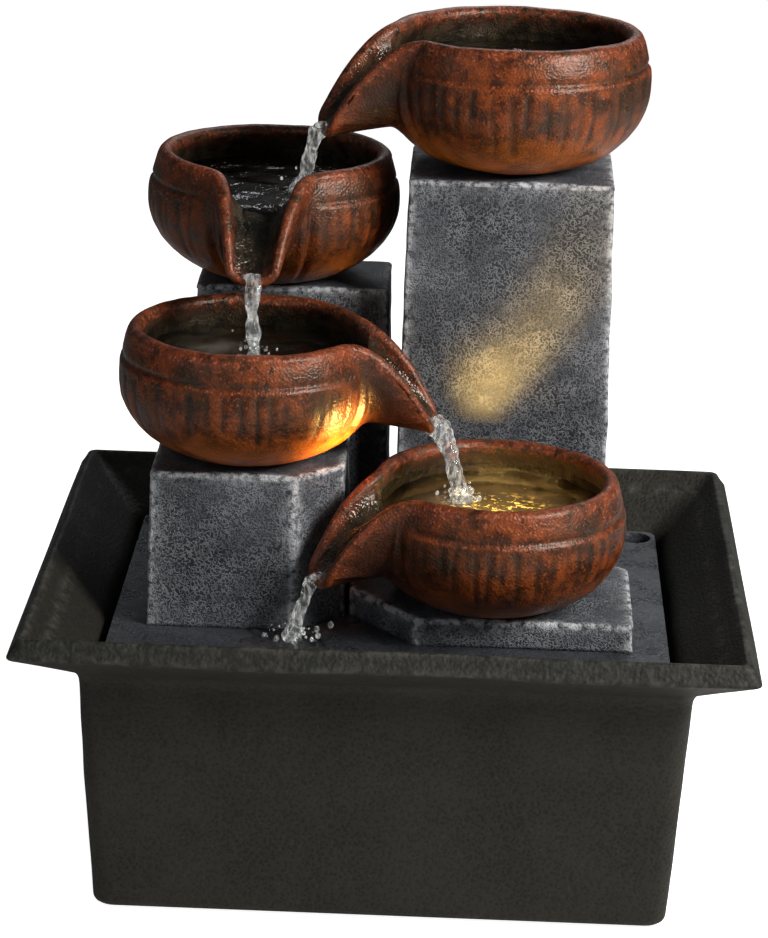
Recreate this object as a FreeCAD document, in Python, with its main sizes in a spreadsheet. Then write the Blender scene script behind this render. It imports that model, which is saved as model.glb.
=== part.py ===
"""Tabletop water fountain: four pouring bowls on stone-look columns over a flared tub.

+X is to the right, +Y to the back and +Z up. The origin is on the surface that the
feet stand on, under the middle of the tub. All sizes are in millimetres.
"""

import FreeCAD, Part
import math
import os
import re
import Sketcher

# ---------------------------------------------------------------- driving sizes
SIZES = {
    # tub: a moulded basin whose rim flares out and ends in a bevel
    "tub_width": 210.0,
    "tub_depth": 180.0,
    "tub_wall": 3.0,
    "tub_floor": 3.0,
    "wall_height": 73.6,        # from the tub's underside to where the flare starts
    "foot_inset": 21.9,         # rim's outermost edge to the wall's foot
    "flare_inset": 17.8,        # rim's outermost edge to the wall's top
    "flare_rise": 10.7,         # from the wall's top to the outermost edge
    "bevel_rise": 5.1,          # from the outermost edge to the crest
    "bevel_inset": 3.2,
    "crest_land": 1.4,          # flat on top of the rim
    "foot_corner": 4.0,
    "rim_corner": 2.0,
    "post_side": 9.0,           # square posts at the tub's side walls carry the deck
    "post_spread": 30.0,        # their distance to the front and to the back of the middle
    "post_height": 67.9,
    # feet and the ring for the pump's lead
    "pad_radius": 6.0,
    "pad_thick": 1.4,
    "pad_sunk": 0.6,
    "pad_inset": 14.0,
    "lead_radius": 2.5,
    "grommet_radius": 4.6,
    "grommet_flange": 6.6,
    "grommet_lip": 1.5,
    "grommet_left": 40.0,
    "grommet_rise": 58.0,
    # deck plate, lying on the posts
    "deck_thick": 4.0,
    "deck_gap": 2.8,            # open joint to the tub all round, where the water drains
    "deck_corner": 4.0,
    "finger_radius": 5.0,
    "finger_inset": 6.4,
    # hollow columns
    "cast_wall": 4.5,
    "cast_edge": 0.9,
    "draft": 1.0,               # degrees
    "back_margin": 0.3,         # from the back columns' feet to the deck's back edge
    "tall_left": 0.9,
    "tall_width": 60.8,
    "tall_depth": 47.2,
    "tall_height": 124.4,
    "mid_right": 4.6,
    "mid_width": 58.2,
    "mid_depth": 35.0,
    "mid_height": 86.9,
    "short_left": 70.4,
    "short_width": 55.9,
    "short_depth": 44.4,
    "short_cut": 13.6,
    "short_height": 47.3,
    "plinth_left": 12.4,
    "plinth_width": 83.2,
    "plinth_depth": 53.6,
    "plinth_cut": 20.0,
    "plinth_cut_back": 24.2,
    "plinth_corner": 5.0,
    "plinth_height": 8.4,
    # bowls: one pattern, the top one cast a little larger
    "bowl_radius": 38.0,
    "bowl_height": 39.0,
    "belly_height": 23.0,
    "bowl_swell": 18.0,         # how far the belly stands out past the foot
    "bowl_floor": 7.0,
    "rim_wall": 4.6,
    "rim_inset": 2.2,
    "weir_height": 27.0,
    "spout_beyond": 17.0,       # how far the tip stands out past the belly
    "spout_width": 28.5,
    "spout_tip_width": 15.0,
    "spout_wall": 4.3,
    "spout_tip_wall": 2.4,
    "spout_under": 9.6,
    "lip_drop": 0.5,            # the spout's lips start this far below the rim
    "spout_tip_height": 14.6,
    "top_bowl_scale": 1.066,
    "top_bowl_turn": 195.0,
    "back_bowl_turn": 267.0,
    "front_bowl_turn": 355.0,
    "low_bowl_turn": 202.0,
    "bowl_gap": 1.2,            # from a bowl's belly to the foot of the column beside it
    "back_bowl_ahead": 1.6,     # how far the back bowl stands ahead of its column's middle
    "front_bowl_left": 43.6,
    "front_bowl_seat": 21.9,    # from the column's front face to the bowl's middle
    "low_bowl_aside": 5.5,      # from the short column's foot to the low bowl's belly
    "low_bowl_seat": 17.2,
    # water path
    "tube_bore": 4.0,
    "tube_wall": 1.5,
    "plug_length": 10.0,        # how far the tube is pushed over a nozzle
    "spigot_flange": 7.0,
    "spigot_lip": 1.5,
    "spigot_tail": 12.0,
    "spigot_bore": 2.6,
    # pump, its motor along X and its nozzle straight under the top bowl
    "pump_half": 19.0,
    "pump_height": 33.0,
    "cup_height": 5.0,
    "cup_radius": 6.0,
    "motor_length": 34.0,
    "motor_wall": 2.0,
    "motor_front_wall": 3.0,
    "lead_room": 6.0,           # behind the rotor's well, where the lead is joined
    "well_radius": 10.0,
    "well_bore": 8.6,
    "volute_length": 14.0,
    "chamber_radius": 14.2,
    "front_wall": 2.0,
    "nozzle_length": 16.0,
    "nozzle_bore": 2.8,
    "shaft_radius": 1.5,
    "bush_radius": 3.0,
    "bush_length": 4.0,
    "rotor_radius": 8.0,
    "rotor_length": 19.0,
    "hub_radius": 5.0,
    "vane_radius": 12.5,
    "vane_thick": 1.5,
    "thrust_gap": 1.0,          # between the rotor and the bush behind it
    "inlet_radius": 2.2,
    "inlet_circle": 7.6,
    "coil_thick": 3.5,
    "coil_length": 8.0,
    "core_gap": 2.0,            # resin between the core and the motor's wall
    "resin_sunk": 1.9,
    "gland_wall": 1.5,
    "gland_length": 5.0,
    "cap_depth": 10.0,
    "cap_wall": 1.8,
    "dial_radius": 8.5,
    "dial_thick": 1.8,
    "window_radius": 2.5,
    "window_circle": 5.2,
    "slot_width": 2.0,
    "slot_height": 22.0,
    "slot_aside": 11.5,         # first slot's distance from the pump's axis
    "slot_pitch": 3.5,
    "dial_pin": 2.12,
    "dial_head": 1.3,           # how far the pin's head stands out all round
    "dial_head_thick": 1.2,
    # lamp in the lowest bowl's floor
    "lamp_radius": 7.9,
    "lamp_wall": 1.4,
    "lamp_flange": 11.0,
    "lamp_lip": 2.0,
    "lens_thick": 2.6,
    "board_thick": 1.2,
    "chip_radius": 2.2,
    "chip_thick": 0.9,
    "seal_round": 0.7,
    # clearances
    "run_fit": 0.08,            # radial, between a shaft and its bore
    "slip_fit": 0.2,            # between a cast hole and the tube through it
    "face_gap": 0.2,            # between faces of pieces that move apart
}

# Sizes that follow from the driving ones, as expressions.
DERIVED = {
    "tub_base": "pad_thick - pad_sunk",
    "floor_top": "tub_base + tub_floor",
    "wall_top": "tub_base + wall_height",
    "edge_height": "wall_top + flare_rise",
    "crest_height": "edge_height + bevel_rise",
    "post_top": "floor_top + post_height",
    "deck_top": "post_top + deck_thick",
    "throat_x": "tub_width / 2 - flare_inset - tub_wall",
    "throat_y": "tub_depth / 2 - flare_inset - tub_wall",
    "deck_x": "throat_x - deck_gap",
    "deck_y": "throat_y - deck_gap",
    "tall_top": "deck_top + tall_height",
    "mid_top": "deck_top + mid_height",
    "short_top": "deck_top + short_height",
    "plinth_top": "deck_top + plinth_height",
    "lean": "draft * pi / 180",
    "tall_front": "deck_y - back_margin - tall_depth - lean * tall_height",
    "mid_front": "deck_y - back_margin - mid_depth - lean * mid_height",
    "back_bowl_x": "tall_left - lean * tall_height - bowl_gap - bowl_radius",
    "back_bowl_y": "mid_front + mid_depth / 2 - back_bowl_ahead",
    "front_bowl_y": "mid_front - lean * mid_height - bowl_gap - bowl_radius",
    "low_bowl_x": "short_width - short_left + lean * short_height + low_bowl_aside + bowl_radius",
    "low_bowl_y": "tall_front - lean * tall_height - bowl_gap - bowl_radius",
    "short_front": "front_bowl_y - front_bowl_seat",
    "plinth_front": "low_bowl_y - low_bowl_seat",
    "foot_radius": "bowl_radius - bowl_swell",
    "spout_reach": "bowl_radius + spout_beyond",
    "riser_x": "tall_left + tall_width / 2",
    "riser_y": "tall_front + tall_depth / 2",
    "tube_radius": "tube_bore + tube_wall",
    "top_floor": "tall_top + bowl_floor * top_bowl_scale",
    "spigot_base": "tall_top - cast_wall - spigot_tail",
    "pump_base": "floor_top + cup_height",
    "pump_top": "pump_base + pump_height",
    "pump_axis": "pump_base + pump_height / 2",
    "volute_back": "riser_x - volute_length / 2",
    "volute_front": "riser_x + volute_length / 2",
    "motor_back": "volute_back - motor_length",
    "cavity_end": "volute_back - motor_front_wall",
    "well_end": "motor_back + lead_room",
    "well_floor": "well_end + motor_wall",
    "rotor_back": "well_floor + bush_length + thrust_gap",
    "rotor_front": "rotor_back + rotor_length",
    "disc_back": "volute_back + 2 * thrust_gap",
    "hub_front": "volute_front - front_wall - thrust_gap",
    "bush_back": "hub_front + 2 * face_gap",
    "cap_back": "volute_front + face_gap",
    "cap_front": "cap_back + cap_depth",
    "dial_back": "cap_front + face_gap / 2",
    "lamp_base": "post_top - 3 * lamp_lip",
    "lamp_top": "plinth_top + bowl_floor",
}

TURN = {
    "X": FreeCAD.Rotation(FreeCAD.Vector(0, 1, 0), 90),
    "Y": FreeCAD.Rotation(FreeCAD.Vector(1, 0, 0), -90),
    "Z": FreeCAD.Rotation(),
}
WORD = re.compile(r"[a-z][a-z_]*[a-z]")

doc = FreeCAD.newDocument("fountain")
sheet = doc.addObject("Spreadsheet::Sheet", "Sizes")
for row, (alias, value) in enumerate(SIZES.items(), 1):
    sheet.set(f"A{row}", alias)
    sheet.set(f"B{row}", str(value))
    sheet.setAlias(f"B{row}", alias)
doc.recompute()


# ---------------------------------------------------------------- shared makers
def formula(text):
    """The expression with each size's name turned into its cell of the sheet."""
    def spell(match):
        word = match.group(0)
        if word in DERIVED:
            return "(" + formula(DERIVED[word]) + ")"
        return "Sizes." + word if word in SIZES else word
    return WORD.sub(spell, str(text))


def worth(text):
    """The expression's value now."""
    return float(sheet.evalExpression(formula(text)))


def bind(item, prop, text):
    item.setExpression(prop, formula(text))


def place(item, base, axis="Z"):
    """Puts the item's own origin at base, with its own Z along axis."""
    item.Placement = FreeCAD.Placement(FreeCAD.Vector(), TURN[axis])
    for letter, text in zip("xyz", base):
        bind(item, f"Placement.Base.{letter}", text)
    return item


def box(name, low, high):
    """A box between two corners."""
    item = doc.addObject("Part::Box", name)
    for prop, start, end in zip(("Length", "Width", "Height"), low, high):
        bind(item, prop, f"({end}) - ({start})")
    return place(item, low)


def rod(name, radius, base, length, axis="Z"):
    """A cylinder from base along axis."""
    item = doc.addObject("Part::Cylinder", name)
    bind(item, "Radius", radius)
    bind(item, "Height", length)
    return place(item, base, axis)


def cut(name, base, *tools):
    """The base with every tool taken away."""
    item = doc.addObject("Part::Cut", name)
    item.Base = base
    item.Tool = tools[0] if len(tools) == 1 else fuse(name + "_tools", *tools)
    return item


def fuse(name, *items):
    joined = doc.addObject("Part::MultiFuse", name)
    joined.Shapes = list(items)
    return joined


def group(name, *items):
    """Separate like solids in one node."""
    joined = doc.addObject("Part::Compound", name)
    joined.Links = list(items)
    return joined


def body(name):
    return doc.addObject("PartDesign::Body", name)


def sketch(owner, name, role="XY_Plane", offset="0"):
    """An empty sketch on one of the body's origin planes, shifted along its normal."""
    item = owner.newObject("Sketcher::SketchObject", name)
    plane = next(f for f in owner.Origin.OriginFeatures if f.Role == role)
    item.AttachmentSupport = (plane, [""])
    item.MapMode = "FlatFace"
    bind(item, "AttachmentOffset.Base.z", offset)
    return item


def arc_between(start, end, radius, side):
    """The short arc from start to end whose centre is on the left (+1) or right (-1)."""
    chord = end - start
    rise = math.sqrt(max(radius ** 2 - chord.Length ** 2 / 4, 0))
    normal = FreeCAD.Vector(-chord.y, chord.x, 0).normalize() * side
    centre = (start + end) / 2 + normal * rise
    first, last = (start, end) if side > 0 else (end, start)
    angles = [math.atan2(p.y - centre.y, p.x - centre.x) for p in (first, last)]
    circle = Part.Circle(centre, FreeCAD.Vector(0, 0, 1), radius)
    return Part.ArcOfCircle(circle, *angles)


def outline(item, steps):
    """A closed outline with every corner tied to the sheet.

    A step is (x, y), reached by a straight line, or (x, y, radius, side), by an arc.
    """
    first = item.GeometryCount
    corners = [FreeCAD.Vector(worth(step[0]), worth(step[1]), 0) for step in steps]
    ends = []
    for index, step in enumerate(steps):
        start, end = corners[index - 1], corners[index]
        if len(step) == 2:
            item.addGeometry(Part.LineSegment(start, end))
            ends.append((1, 2))
        else:
            radius, side = step[2:]
            item.addGeometry(arc_between(start, end, worth(radius), side))
            ends.append((1, 2) if side > 0 else (2, 1))
            name = f"round{first + index}"
            rule = item.addConstraint(Sketcher.Constraint("Radius", first + index, worth(radius)))
            item.renameConstraint(rule, name)
            bind(item, f"Constraints.{name}", radius)
    count = len(steps)
    for index, step in enumerate(steps):
        curve, following = first + index, first + (index + 1) % count
        joint = (curve, ends[index][1], following, ends[(index + 1) % count][0])
        item.addConstraint(Sketcher.Constraint("Coincident", *joint))
        for letter, text in zip("XY", step):
            rule = Sketcher.Constraint(f"Distance{letter}", -1, 1, curve, ends[index][1], worth(text))
            name = f"corner{letter}{curve}"
            item.renameConstraint(item.addConstraint(rule), name)
            bind(item, f"Constraints.{name}", text)
    return item


def rounded(half_x, half_y, radius):
    """Steps of a rectangle about the origin with rounded corners."""
    near_x, near_y = f"(({half_x}) - {radius})", f"(({half_y}) - {radius})"
    return [
        (near_x, f"-({half_y})"),
        (half_x, f"-{near_y}", radius, 1),
        (half_x, near_y),
        (near_x, half_y, radius, 1),
        (f"-{near_x}", half_y),
        (f"-({half_x})", near_y, radius, 1),
        (f"-({half_x})", f"-{near_y}"),
        (f"-{near_x}", f"-({half_y})", radius, 1),
    ]


def pad(owner, profile, length, name, downwards=False, taper=None):
    item = owner.newObject("PartDesign::Pad", name)
    item.Profile = profile
    item.Reversed = downwards
    bind(item, "Length", length)
    if taper:
        bind(item, "TaperAngle", taper)
    doc.recompute()
    return item


def loft(owner, kind, name, sections):
    """A ruled loft, added to or taken from the body, through sketches in order."""
    item = owner.newObject(f"PartDesign::{kind}Loft", name)
    item.Profile = sections[0]
    item.Sections = sections[1:]
    item.Ruled = True
    doc.recompute()
    if item.BaseFeature:
        check_change(item, 1 if kind == "Additive" else -1)
    return item


def check_change(item, sign):
    """Stops unless the feature added (+1) or took away (-1) some volume."""
    change = item.Shape.Volume - item.BaseFeature.Shape.Volume
    if change * sign <= 0:
        raise RuntimeError(f"{item.Label} changed the volume by {change:.1f}")


# ---------------------------------------------------------------- tub
moulding = body("tub_moulding")
FOOT_X, FOOT_Y = "tub_width / 2 - foot_inset", "tub_depth / 2 - foot_inset"
CREST_X = "tub_width / 2 - bevel_inset - crest_land"
CREST_Y = "tub_depth / 2 - bevel_inset - crest_land"
outside = [
    ("tub_base", FOOT_X, FOOT_Y, "foot_corner"),
    ("wall_top", "tub_width / 2 - flare_inset", "tub_depth / 2 - flare_inset", "foot_corner"),
    ("edge_height", "tub_width / 2", "tub_depth / 2", "rim_corner"),
    ("crest_height", "tub_width / 2 - bevel_inset", "tub_depth / 2 - bevel_inset", "rim_corner"),
]
inside = [
    ("floor_top", FOOT_X + " - tub_wall", FOOT_Y + " - tub_wall", "foot_corner"),
    ("wall_top", "throat_x", "throat_y", "foot_corner"),
    ("crest_height", CREST_X, CREST_Y, "rim_corner"),
    ("crest_height + tub_wall", CREST_X, CREST_Y, "rim_corner"),
]
for kind, levels in (("Additive", outside), ("Subtractive", inside)):
    rings = []
    for number, (level, half_x, half_y, corner) in enumerate(levels):
        ring = sketch(moulding, f"tub_{kind}_{number}", offset=level)
        rings.append(outline(ring, rounded(half_x, half_y, corner)))
    loft(moulding, kind, f"tub_{kind}_loft", rings)

# Square posts stand along the side walls, rooted in the floor and the foot of the wall.
posts = sketch(moulding, "tub_posts", offset="floor_top - tub_floor / 2")
for side_x in (1, -1):
    far_x = f"{side_x} * ({FOOT_X} - tub_wall / 2)"
    near_x = f"{far_x} - {side_x} * post_side"
    for side_y in (1, -1):
        near_y = f"{side_y} * (post_spread - post_side / 2)"
        far_y = f"{side_y} * (post_spread + post_side / 2)"
        outline(posts, [(near_x, near_y), (far_x, near_y), (far_x, far_y), (near_x, far_y)])
check_change(pad(moulding, posts, "post_height + tub_floor / 2", "tub_post_pad"), 1)

# The ring's hole is high in the back wall, whose slope the ring's lips clear.
GROMMET_Z = "tub_base + grommet_rise"
WALL_SLOPE = "(foot_inset - flare_inset) / wall_height"
WALL_BACK = f"({FOOT_Y} + grommet_rise * {WALL_SLOPE})"
LIP_GAP = f"(grommet_flange * {WALL_SLOPE} + face_gap / 4)"
pads, pockets = [], []
for side_x in (1, -1):
    for side_y in (1, -1):
        spot = (f"{side_x} * ({FOOT_X} - pad_inset)", f"{side_y} * ({FOOT_Y} - pad_inset)")
        number = len(pads) + 1
        pads.append(rod(f"pad_{number}", "pad_radius", spot + ("0",), "pad_thick"))
        pockets.append(rod(f"pad_pocket_{number}", "pad_radius", spot + ("0",), "pad_thick"))
lead_hole = rod("lead_hole", "grommet_radius", ("-grommet_left", f"{WALL_BACK} - 3 * tub_wall", GROMMET_Z),
                "6 * tub_wall", "Y")
tub = cut("tub", moulding, lead_hole, *pockets)
rubber_feet = group("rubber_feet", *pads)

ring_start = f"{WALL_BACK} - tub_wall - {LIP_GAP} - grommet_lip"
ring_length = f"tub_wall + 2 * {LIP_GAP} + 2 * grommet_lip"
ring_body = rod("ring_body", "grommet_radius", ("-grommet_left", ring_start, GROMMET_Z), ring_length, "Y")
ring_inner = rod("ring_inner_lip", "grommet_flange", ("-grommet_left", ring_start, GROMMET_Z),
                 "grommet_lip", "Y")
ring_outer = rod("ring_outer_lip", "grommet_flange",
                 ("-grommet_left", f"{WALL_BACK} + {LIP_GAP}", GROMMET_Z), "grommet_lip", "Y")
ring_bore = rod("ring_bore", "lead_radius", ("-grommet_left", ring_start, GROMMET_Z), ring_length, "Y")
cord_grommet = cut("cord_grommet", fuse("ring_rubber", ring_body, ring_inner, ring_outer), ring_bore)

# ---------------------------------------------------------------- deck plate
slab = body("deck_slab")
slab_plan = sketch(slab, "deck_plan", offset="post_top")
pad(slab, outline(slab_plan, rounded("deck_x", "deck_y", "deck_corner")), "deck_thick", "deck_pad")
LAMP = ("low_bowl_x", "low_bowl_y")
RISER = ("riser_x", "riser_y")
finger_hole = rod("finger_hole", "finger_radius", ("deck_x - finger_inset", "deck_y - finger_inset", "0"),
                  "crest_height")
tube_hole = rod("deck_tube_hole", "tube_radius + slip_fit", RISER + ("0",), "crest_height")
lamp_hole = rod("deck_lamp_hole", "lamp_radius + slip_fit", LAMP + ("0",), "crest_height")
deck_plate = cut("deck_plate", slab, finger_hole, tube_hole, lamp_hole)


# ---------------------------------------------------------------- columns
BEVEL_KEEP = 0.6        # share of the wall by which a cut corner shrinks on the inside


def column(name, plan, top, drop, solid=False):
    """A casting with drafted sides and broken edges, hollow and open below unless solid."""
    casting = body(name)
    outer = sketch(casting, name + "_plan", offset=top)
    shape = pad(casting, outline(outer, plan("0")), drop, name + "_pad", downwards=True, taper="draft")
    foot = shape.Shape.BoundBox.ZMin
    worn = [f"Edge{n}" for n, edge in enumerate(shape.Shape.Edges, 1) if edge.BoundBox.ZMax > foot + 1]
    edges = casting.newObject("PartDesign::Chamfer", name + "_edges")
    edges.Base = (shape, worn)
    bind(edges, "Size", "cast_edge")
    doc.recompute()
    if solid:
        return casting
    inner = sketch(casting, name + "_inner_plan", offset=f"{top} - cast_wall")
    hollow = casting.newObject("PartDesign::Pocket", name + "_hollow")
    hollow.Profile = outline(inner, plan("cast_wall"))
    bind(hollow, "Length", drop)
    bind(hollow, "TaperAngle", "draft")
    doc.recompute()
    check_change(hollow, -1)
    return casting


def block_plan(left, front, width, depth):
    """Plan of a plain rectangular column: its steps for any inset."""
    def steps(inset):
        near_x, near_y = f"{left} + {inset}", f"{front} + {inset}"
        far_x, far_y = f"{left} + {width} - {inset}", f"{front} + {depth} - {inset}"
        return [(far_x, near_y), (far_x, far_y), (near_x, far_y), (near_x, near_y)]
    return steps


def short_plan(inset):
    """The short column's right front corner is cut off."""
    left, right = f"-short_left + {inset}", f"-short_left + short_width - {inset}"
    front, back = f"short_front + {inset}", f"short_front + short_depth - {inset}"
    corner = f"(short_cut - {BEVEL_KEEP} * {inset})"
    return [(f"{right} - {corner}", front), (right, f"{front} + {corner}"), (right, back), (left, back),
            (left, front)]


def plinth_plan(_):
    """The plinth has a large cut at its left front corner and a small one at its right back."""
    left, right = "-plinth_left", "-plinth_left + plinth_width"
    front, back = "plinth_front", "plinth_front + plinth_depth"
    return [
        (right, front),
        (right, f"{back} - plinth_corner"),
        (f"{right} - plinth_corner", back),
        (left, back),
        (left, f"{front} + plinth_cut_back"),
        (f"{left} + plinth_cut", front),
    ]


tall_plan = block_plan("tall_left", "tall_front", "tall_width", "tall_depth")
mid_plan = block_plan("-(mid_right + mid_width)", "mid_front", "mid_width", "mid_depth")
mid_pillar = column("mid_pillar", mid_plan, "mid_top", "mid_height")
short_pillar = column("short_pillar", short_plan, "short_top", "short_height")
tall_casting = column("tall_casting", tall_plan, "tall_top", "tall_height")
plinth_casting = column("plinth_casting", plinth_plan, "plinth_top", "plinth_height", solid=True)
spigot_hole = rod("pillar_spigot_hole", "tube_bore + slip_fit", RISER + ("deck_top",), "2 * tall_height")
tall_pillar = cut("tall_pillar", tall_casting, spigot_hole)
plinth_hole = rod("plinth_lamp_hole", "lamp_radius + slip_fit", LAMP + ("0",), "deck_top + tall_height")
low_plinth = cut("low_plinth", plinth_casting, plinth_hole)

# ---------------------------------------------------------------- bowls
SPOUT_ROOT = "bowl_radius - 2.6 * rim_wall"        # inside the bowl's wall
SPOUT_START = "bowl_radius - rim_wall"
SPOUT_STATIONS = (0.0, 0.35, 0.65, 0.85, 1.0)     # shares of the way from the rim to the tip
LIP_FALL = 1.75                                   # how the lips curve down: 1 is straight
FLOOR_FALL = 1.5                                  # how the channel's floor curves down
LIP_TOP = "bowl_height - lip_drop"


def swell(near, reach, rise):
    """Radius of an arc that leaves (near, 0) and stands upright at (reach, rise)."""
    return f"((({reach}) - ({near}))^2 + ({rise})^2) / (2 * (({reach}) - ({near})))"


def trough(half_width, under, top):
    """Steps of an upright section with a round bottom, 0.6 of its half width deep."""
    side = f"({under}) + 0.6 * ({half_width})"
    radius = f"({half_width}) * (1 + 0.6^2) / (2 * 0.6)"
    return [
        (half_width, side, radius, 1),
        (half_width, top),
        (f"-({half_width})", top),
        (f"-({half_width})", side),
    ]


def bowl(name, scale, base, turn):
    """A round bowl whose spout points along its own +X before it is turned."""
    casting = body(name)

    def sized(steps):
        scaled = []
        for step in steps:
            lengths = [f"({text}) * {scale}" for text in step[:3]]
            scaled.append(tuple(lengths) + tuple(step[3:]))
        return scaled

    def turned(kind, label, steps):
        profile = outline(sketch(casting, label, "XZ_Plane"), sized(steps))
        item = casting.newObject(f"PartDesign::{kind}", label + "_turned")
        item.Profile = profile
        item.ReferenceAxis = (profile, ["V_Axis"])
        item.Angle = 360
        doc.recompute()
        return item

    lip = "bowl_height - rim_wall / 2"
    outer_radius, inner_radius = "bowl_radius", "bowl_radius - rim_wall"
    rim_outer, rim_inner = "bowl_radius - rim_inset", "bowl_radius - rim_inset - rim_wall"
    rim_mid = "bowl_radius - rim_inset - rim_wall / 2"
    shoulder = swell(rim_outer, outer_radius, f"({lip}) - belly_height")
    inside_swell = swell("foot_radius - 1", inner_radius, "belly_height - bowl_floor")
    turned("Revolution", name + "_outside", [
        ("0", "0"),
        ("foot_radius", "0"),
        (outer_radius, "belly_height", swell("foot_radius", outer_radius, "belly_height"), 1),
        (rim_outer, lip, shoulder, 1),
        (rim_mid, "bowl_height", "rim_wall / 2", 1),
        ("0", "bowl_height"),
    ])
    walls, channel = [], []
    stations = [(SPOUT_ROOT, 0.0)]
    stations += [(f"({SPOUT_START}) + {f} * (spout_reach - ({SPOUT_START}))", f) for f in SPOUT_STATIONS]
    for number, (reach, share) in enumerate(stations):
        half = f"(spout_width + (spout_tip_width - spout_width) * {share}) / 2"
        wall = f"spout_wall + (spout_tip_wall - spout_wall) * {share}"
        top = f"{LIP_TOP} - ({LIP_TOP} - spout_tip_height) * {share ** LIP_FALL:.4f}"
        dip = f"(weir_height - spout_under - spout_tip_wall) * {share ** FLOOR_FALL:.4f}"
        ring = sketch(casting, f"{name}_spout_{number}", "YZ_Plane", f"({reach}) * {scale}")
        walls.append(outline(ring, sized(trough(half, "spout_under", top))))
        past = " + 1" if share == 1 else ""
        ring = sketch(casting, f"{name}_channel_{number}", "YZ_Plane", f"({reach}{past}) * {scale}")
        inner = trough(f"({half}) - ({wall})", f"weir_height - {dip}", "bowl_height + rim_wall")
        channel.append(outline(ring, sized(inner)))
    loft(casting, "Additive", name + "_spout", walls)
    hollow = turned("Groove", name + "_inside", [
        ("0", "bowl_floor"),
        ("foot_radius - 1", "bowl_floor"),
        (inner_radius, "belly_height", inside_swell, 1),
        (rim_inner, lip, swell(rim_inner, inner_radius, f"({lip}) - belly_height"), 1),
        (rim_mid, "bowl_height", "rim_wall / 2", -1),
        (rim_mid, "bowl_height + rim_wall"),
        ("0", "bowl_height + rim_wall"),
    ])
    check_change(hollow, -1)
    loft(casting, "Subtractive", name + "_channel", channel)
    casting.Placement = FreeCAD.Placement(FreeCAD.Vector(), FreeCAD.Rotation(FreeCAD.Vector(0, 0, 1), 1))
    bind(casting, "Placement.Rotation.Angle", turn)
    for letter, text in zip("xyz", base):
        bind(casting, f"Placement.Base.{letter}", text)
    return casting


bowl_back = bowl("bowl_back", "1", ("back_bowl_x", "back_bowl_y", "mid_top"), "back_bowl_turn")
bowl_front = bowl("bowl_front", "1", ("-front_bowl_left", "front_bowl_y", "short_top"),
                  "front_bowl_turn")
low_casting = bowl("low_casting", "1", LAMP + ("plinth_top",), "low_bowl_turn")
top_casting = bowl("top_casting", "top_bowl_scale", RISER + ("tall_top",), "top_bowl_turn")
low_hole = rod("low_bowl_lamp_hole", "lamp_radius + slip_fit", LAMP + ("0",), "deck_top + tall_height")
bowl_low = cut("bowl_low", low_casting, low_hole)
top_hole = rod("top_bowl_hole", "tube_bore + slip_fit", RISER + ("deck_top",), "2 * tall_height")
bowl_top = cut("bowl_top", top_casting, top_hole)

# ---------------------------------------------------------------- water path
NOZZLE_TOP = "pump_top + nozzle_length"
tube_low, tube_high = f"({NOZZLE_TOP} - plug_length)", "(spigot_base + plug_length)"
tube_outer = rod("tube_outer", "tube_radius", RISER + (tube_low,), f"{tube_high} - {tube_low}")
tube_inner = rod("tube_inner", "tube_bore", RISER + (tube_low,), f"{tube_high} - {tube_low}")
riser_tube = cut("riser_tube", tube_outer, tube_inner)
spigot_stem = rod("spigot_stem", "tube_bore", RISER + ("spigot_base",), "top_floor - spigot_base")
spigot_rim = rod("spigot_rim", "spigot_flange", RISER + ("top_floor",), "spigot_lip")
spigot_way = rod("spigot_way", "spigot_bore", RISER + ("spigot_base",),
                 "top_floor + spigot_lip - spigot_base")
top_spigot = cut("top_spigot", fuse("spigot_body", spigot_stem, spigot_rim), spigot_way)

# ---------------------------------------------------------------- pump
AXIS = ("riser_y", "pump_axis")
NEAR, FAR = "riser_y - pump_half", "riser_y + pump_half"


def pump_box(name, start, end, inset="0"):
    """A box as wide and high as the pump, less an inset."""
    low = (start, f"{NEAR} + {inset}", f"pump_base + {inset}")
    return box(name, low, (end, f"{FAR} - {inset}", f"pump_top - {inset}"))


def pump_rod(name, radius, start, end, aside="0", above="0"):
    """A cylinder along the pump's axis, or beside it."""
    base = (start, f"{AXIS[0]} + {aside}", f"{AXIS[1]} + {above}")
    return rod(name, radius, base, f"({end}) - ({start})", "X")


case = pump_box("motor_case", "motor_back", "volute_back")
cavity = pump_box("motor_cavity", "motor_back", "cavity_end", "motor_wall")
well = pump_rod("motor_well", "well_radius", "well_end", "volute_back")
well_bore = pump_rod("motor_well_bore", "well_bore", "well_floor", "volute_back")
pump_housing = cut("pump_housing", fuse("motor_shell", cut("motor_box", case, cavity), well), well_bore)

# The core and the coil stand round the well, and resin fills the cavity about them.
COIL_BACK = "well_end + thrust_gap"
COIL_FRONT = "well_end + thrust_gap + coil_length"


def core_block(name):
    return pump_box(name, COIL_FRONT, "cavity_end", "(motor_wall + core_gap)")


def coil_round(name):
    return pump_rod(name, "well_radius + coil_thick", COIL_BACK, COIL_FRONT)


def well_round(name):
    return pump_rod(name, "well_radius", "well_end", "volute_back")


stator_core = cut("stator_core", core_block("core_block"), well_round("core_bore"))
stator_coil = cut("stator_coil", coil_round("coil_block"), well_round("coil_bore"))
resin_block = pump_box("resin_block", "motor_back + resin_sunk", "cavity_end", "motor_wall")
potting = cut("potting", resin_block, core_block("resin_core"), coil_round("resin_coil"),
              well_round("resin_well"))

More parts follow.
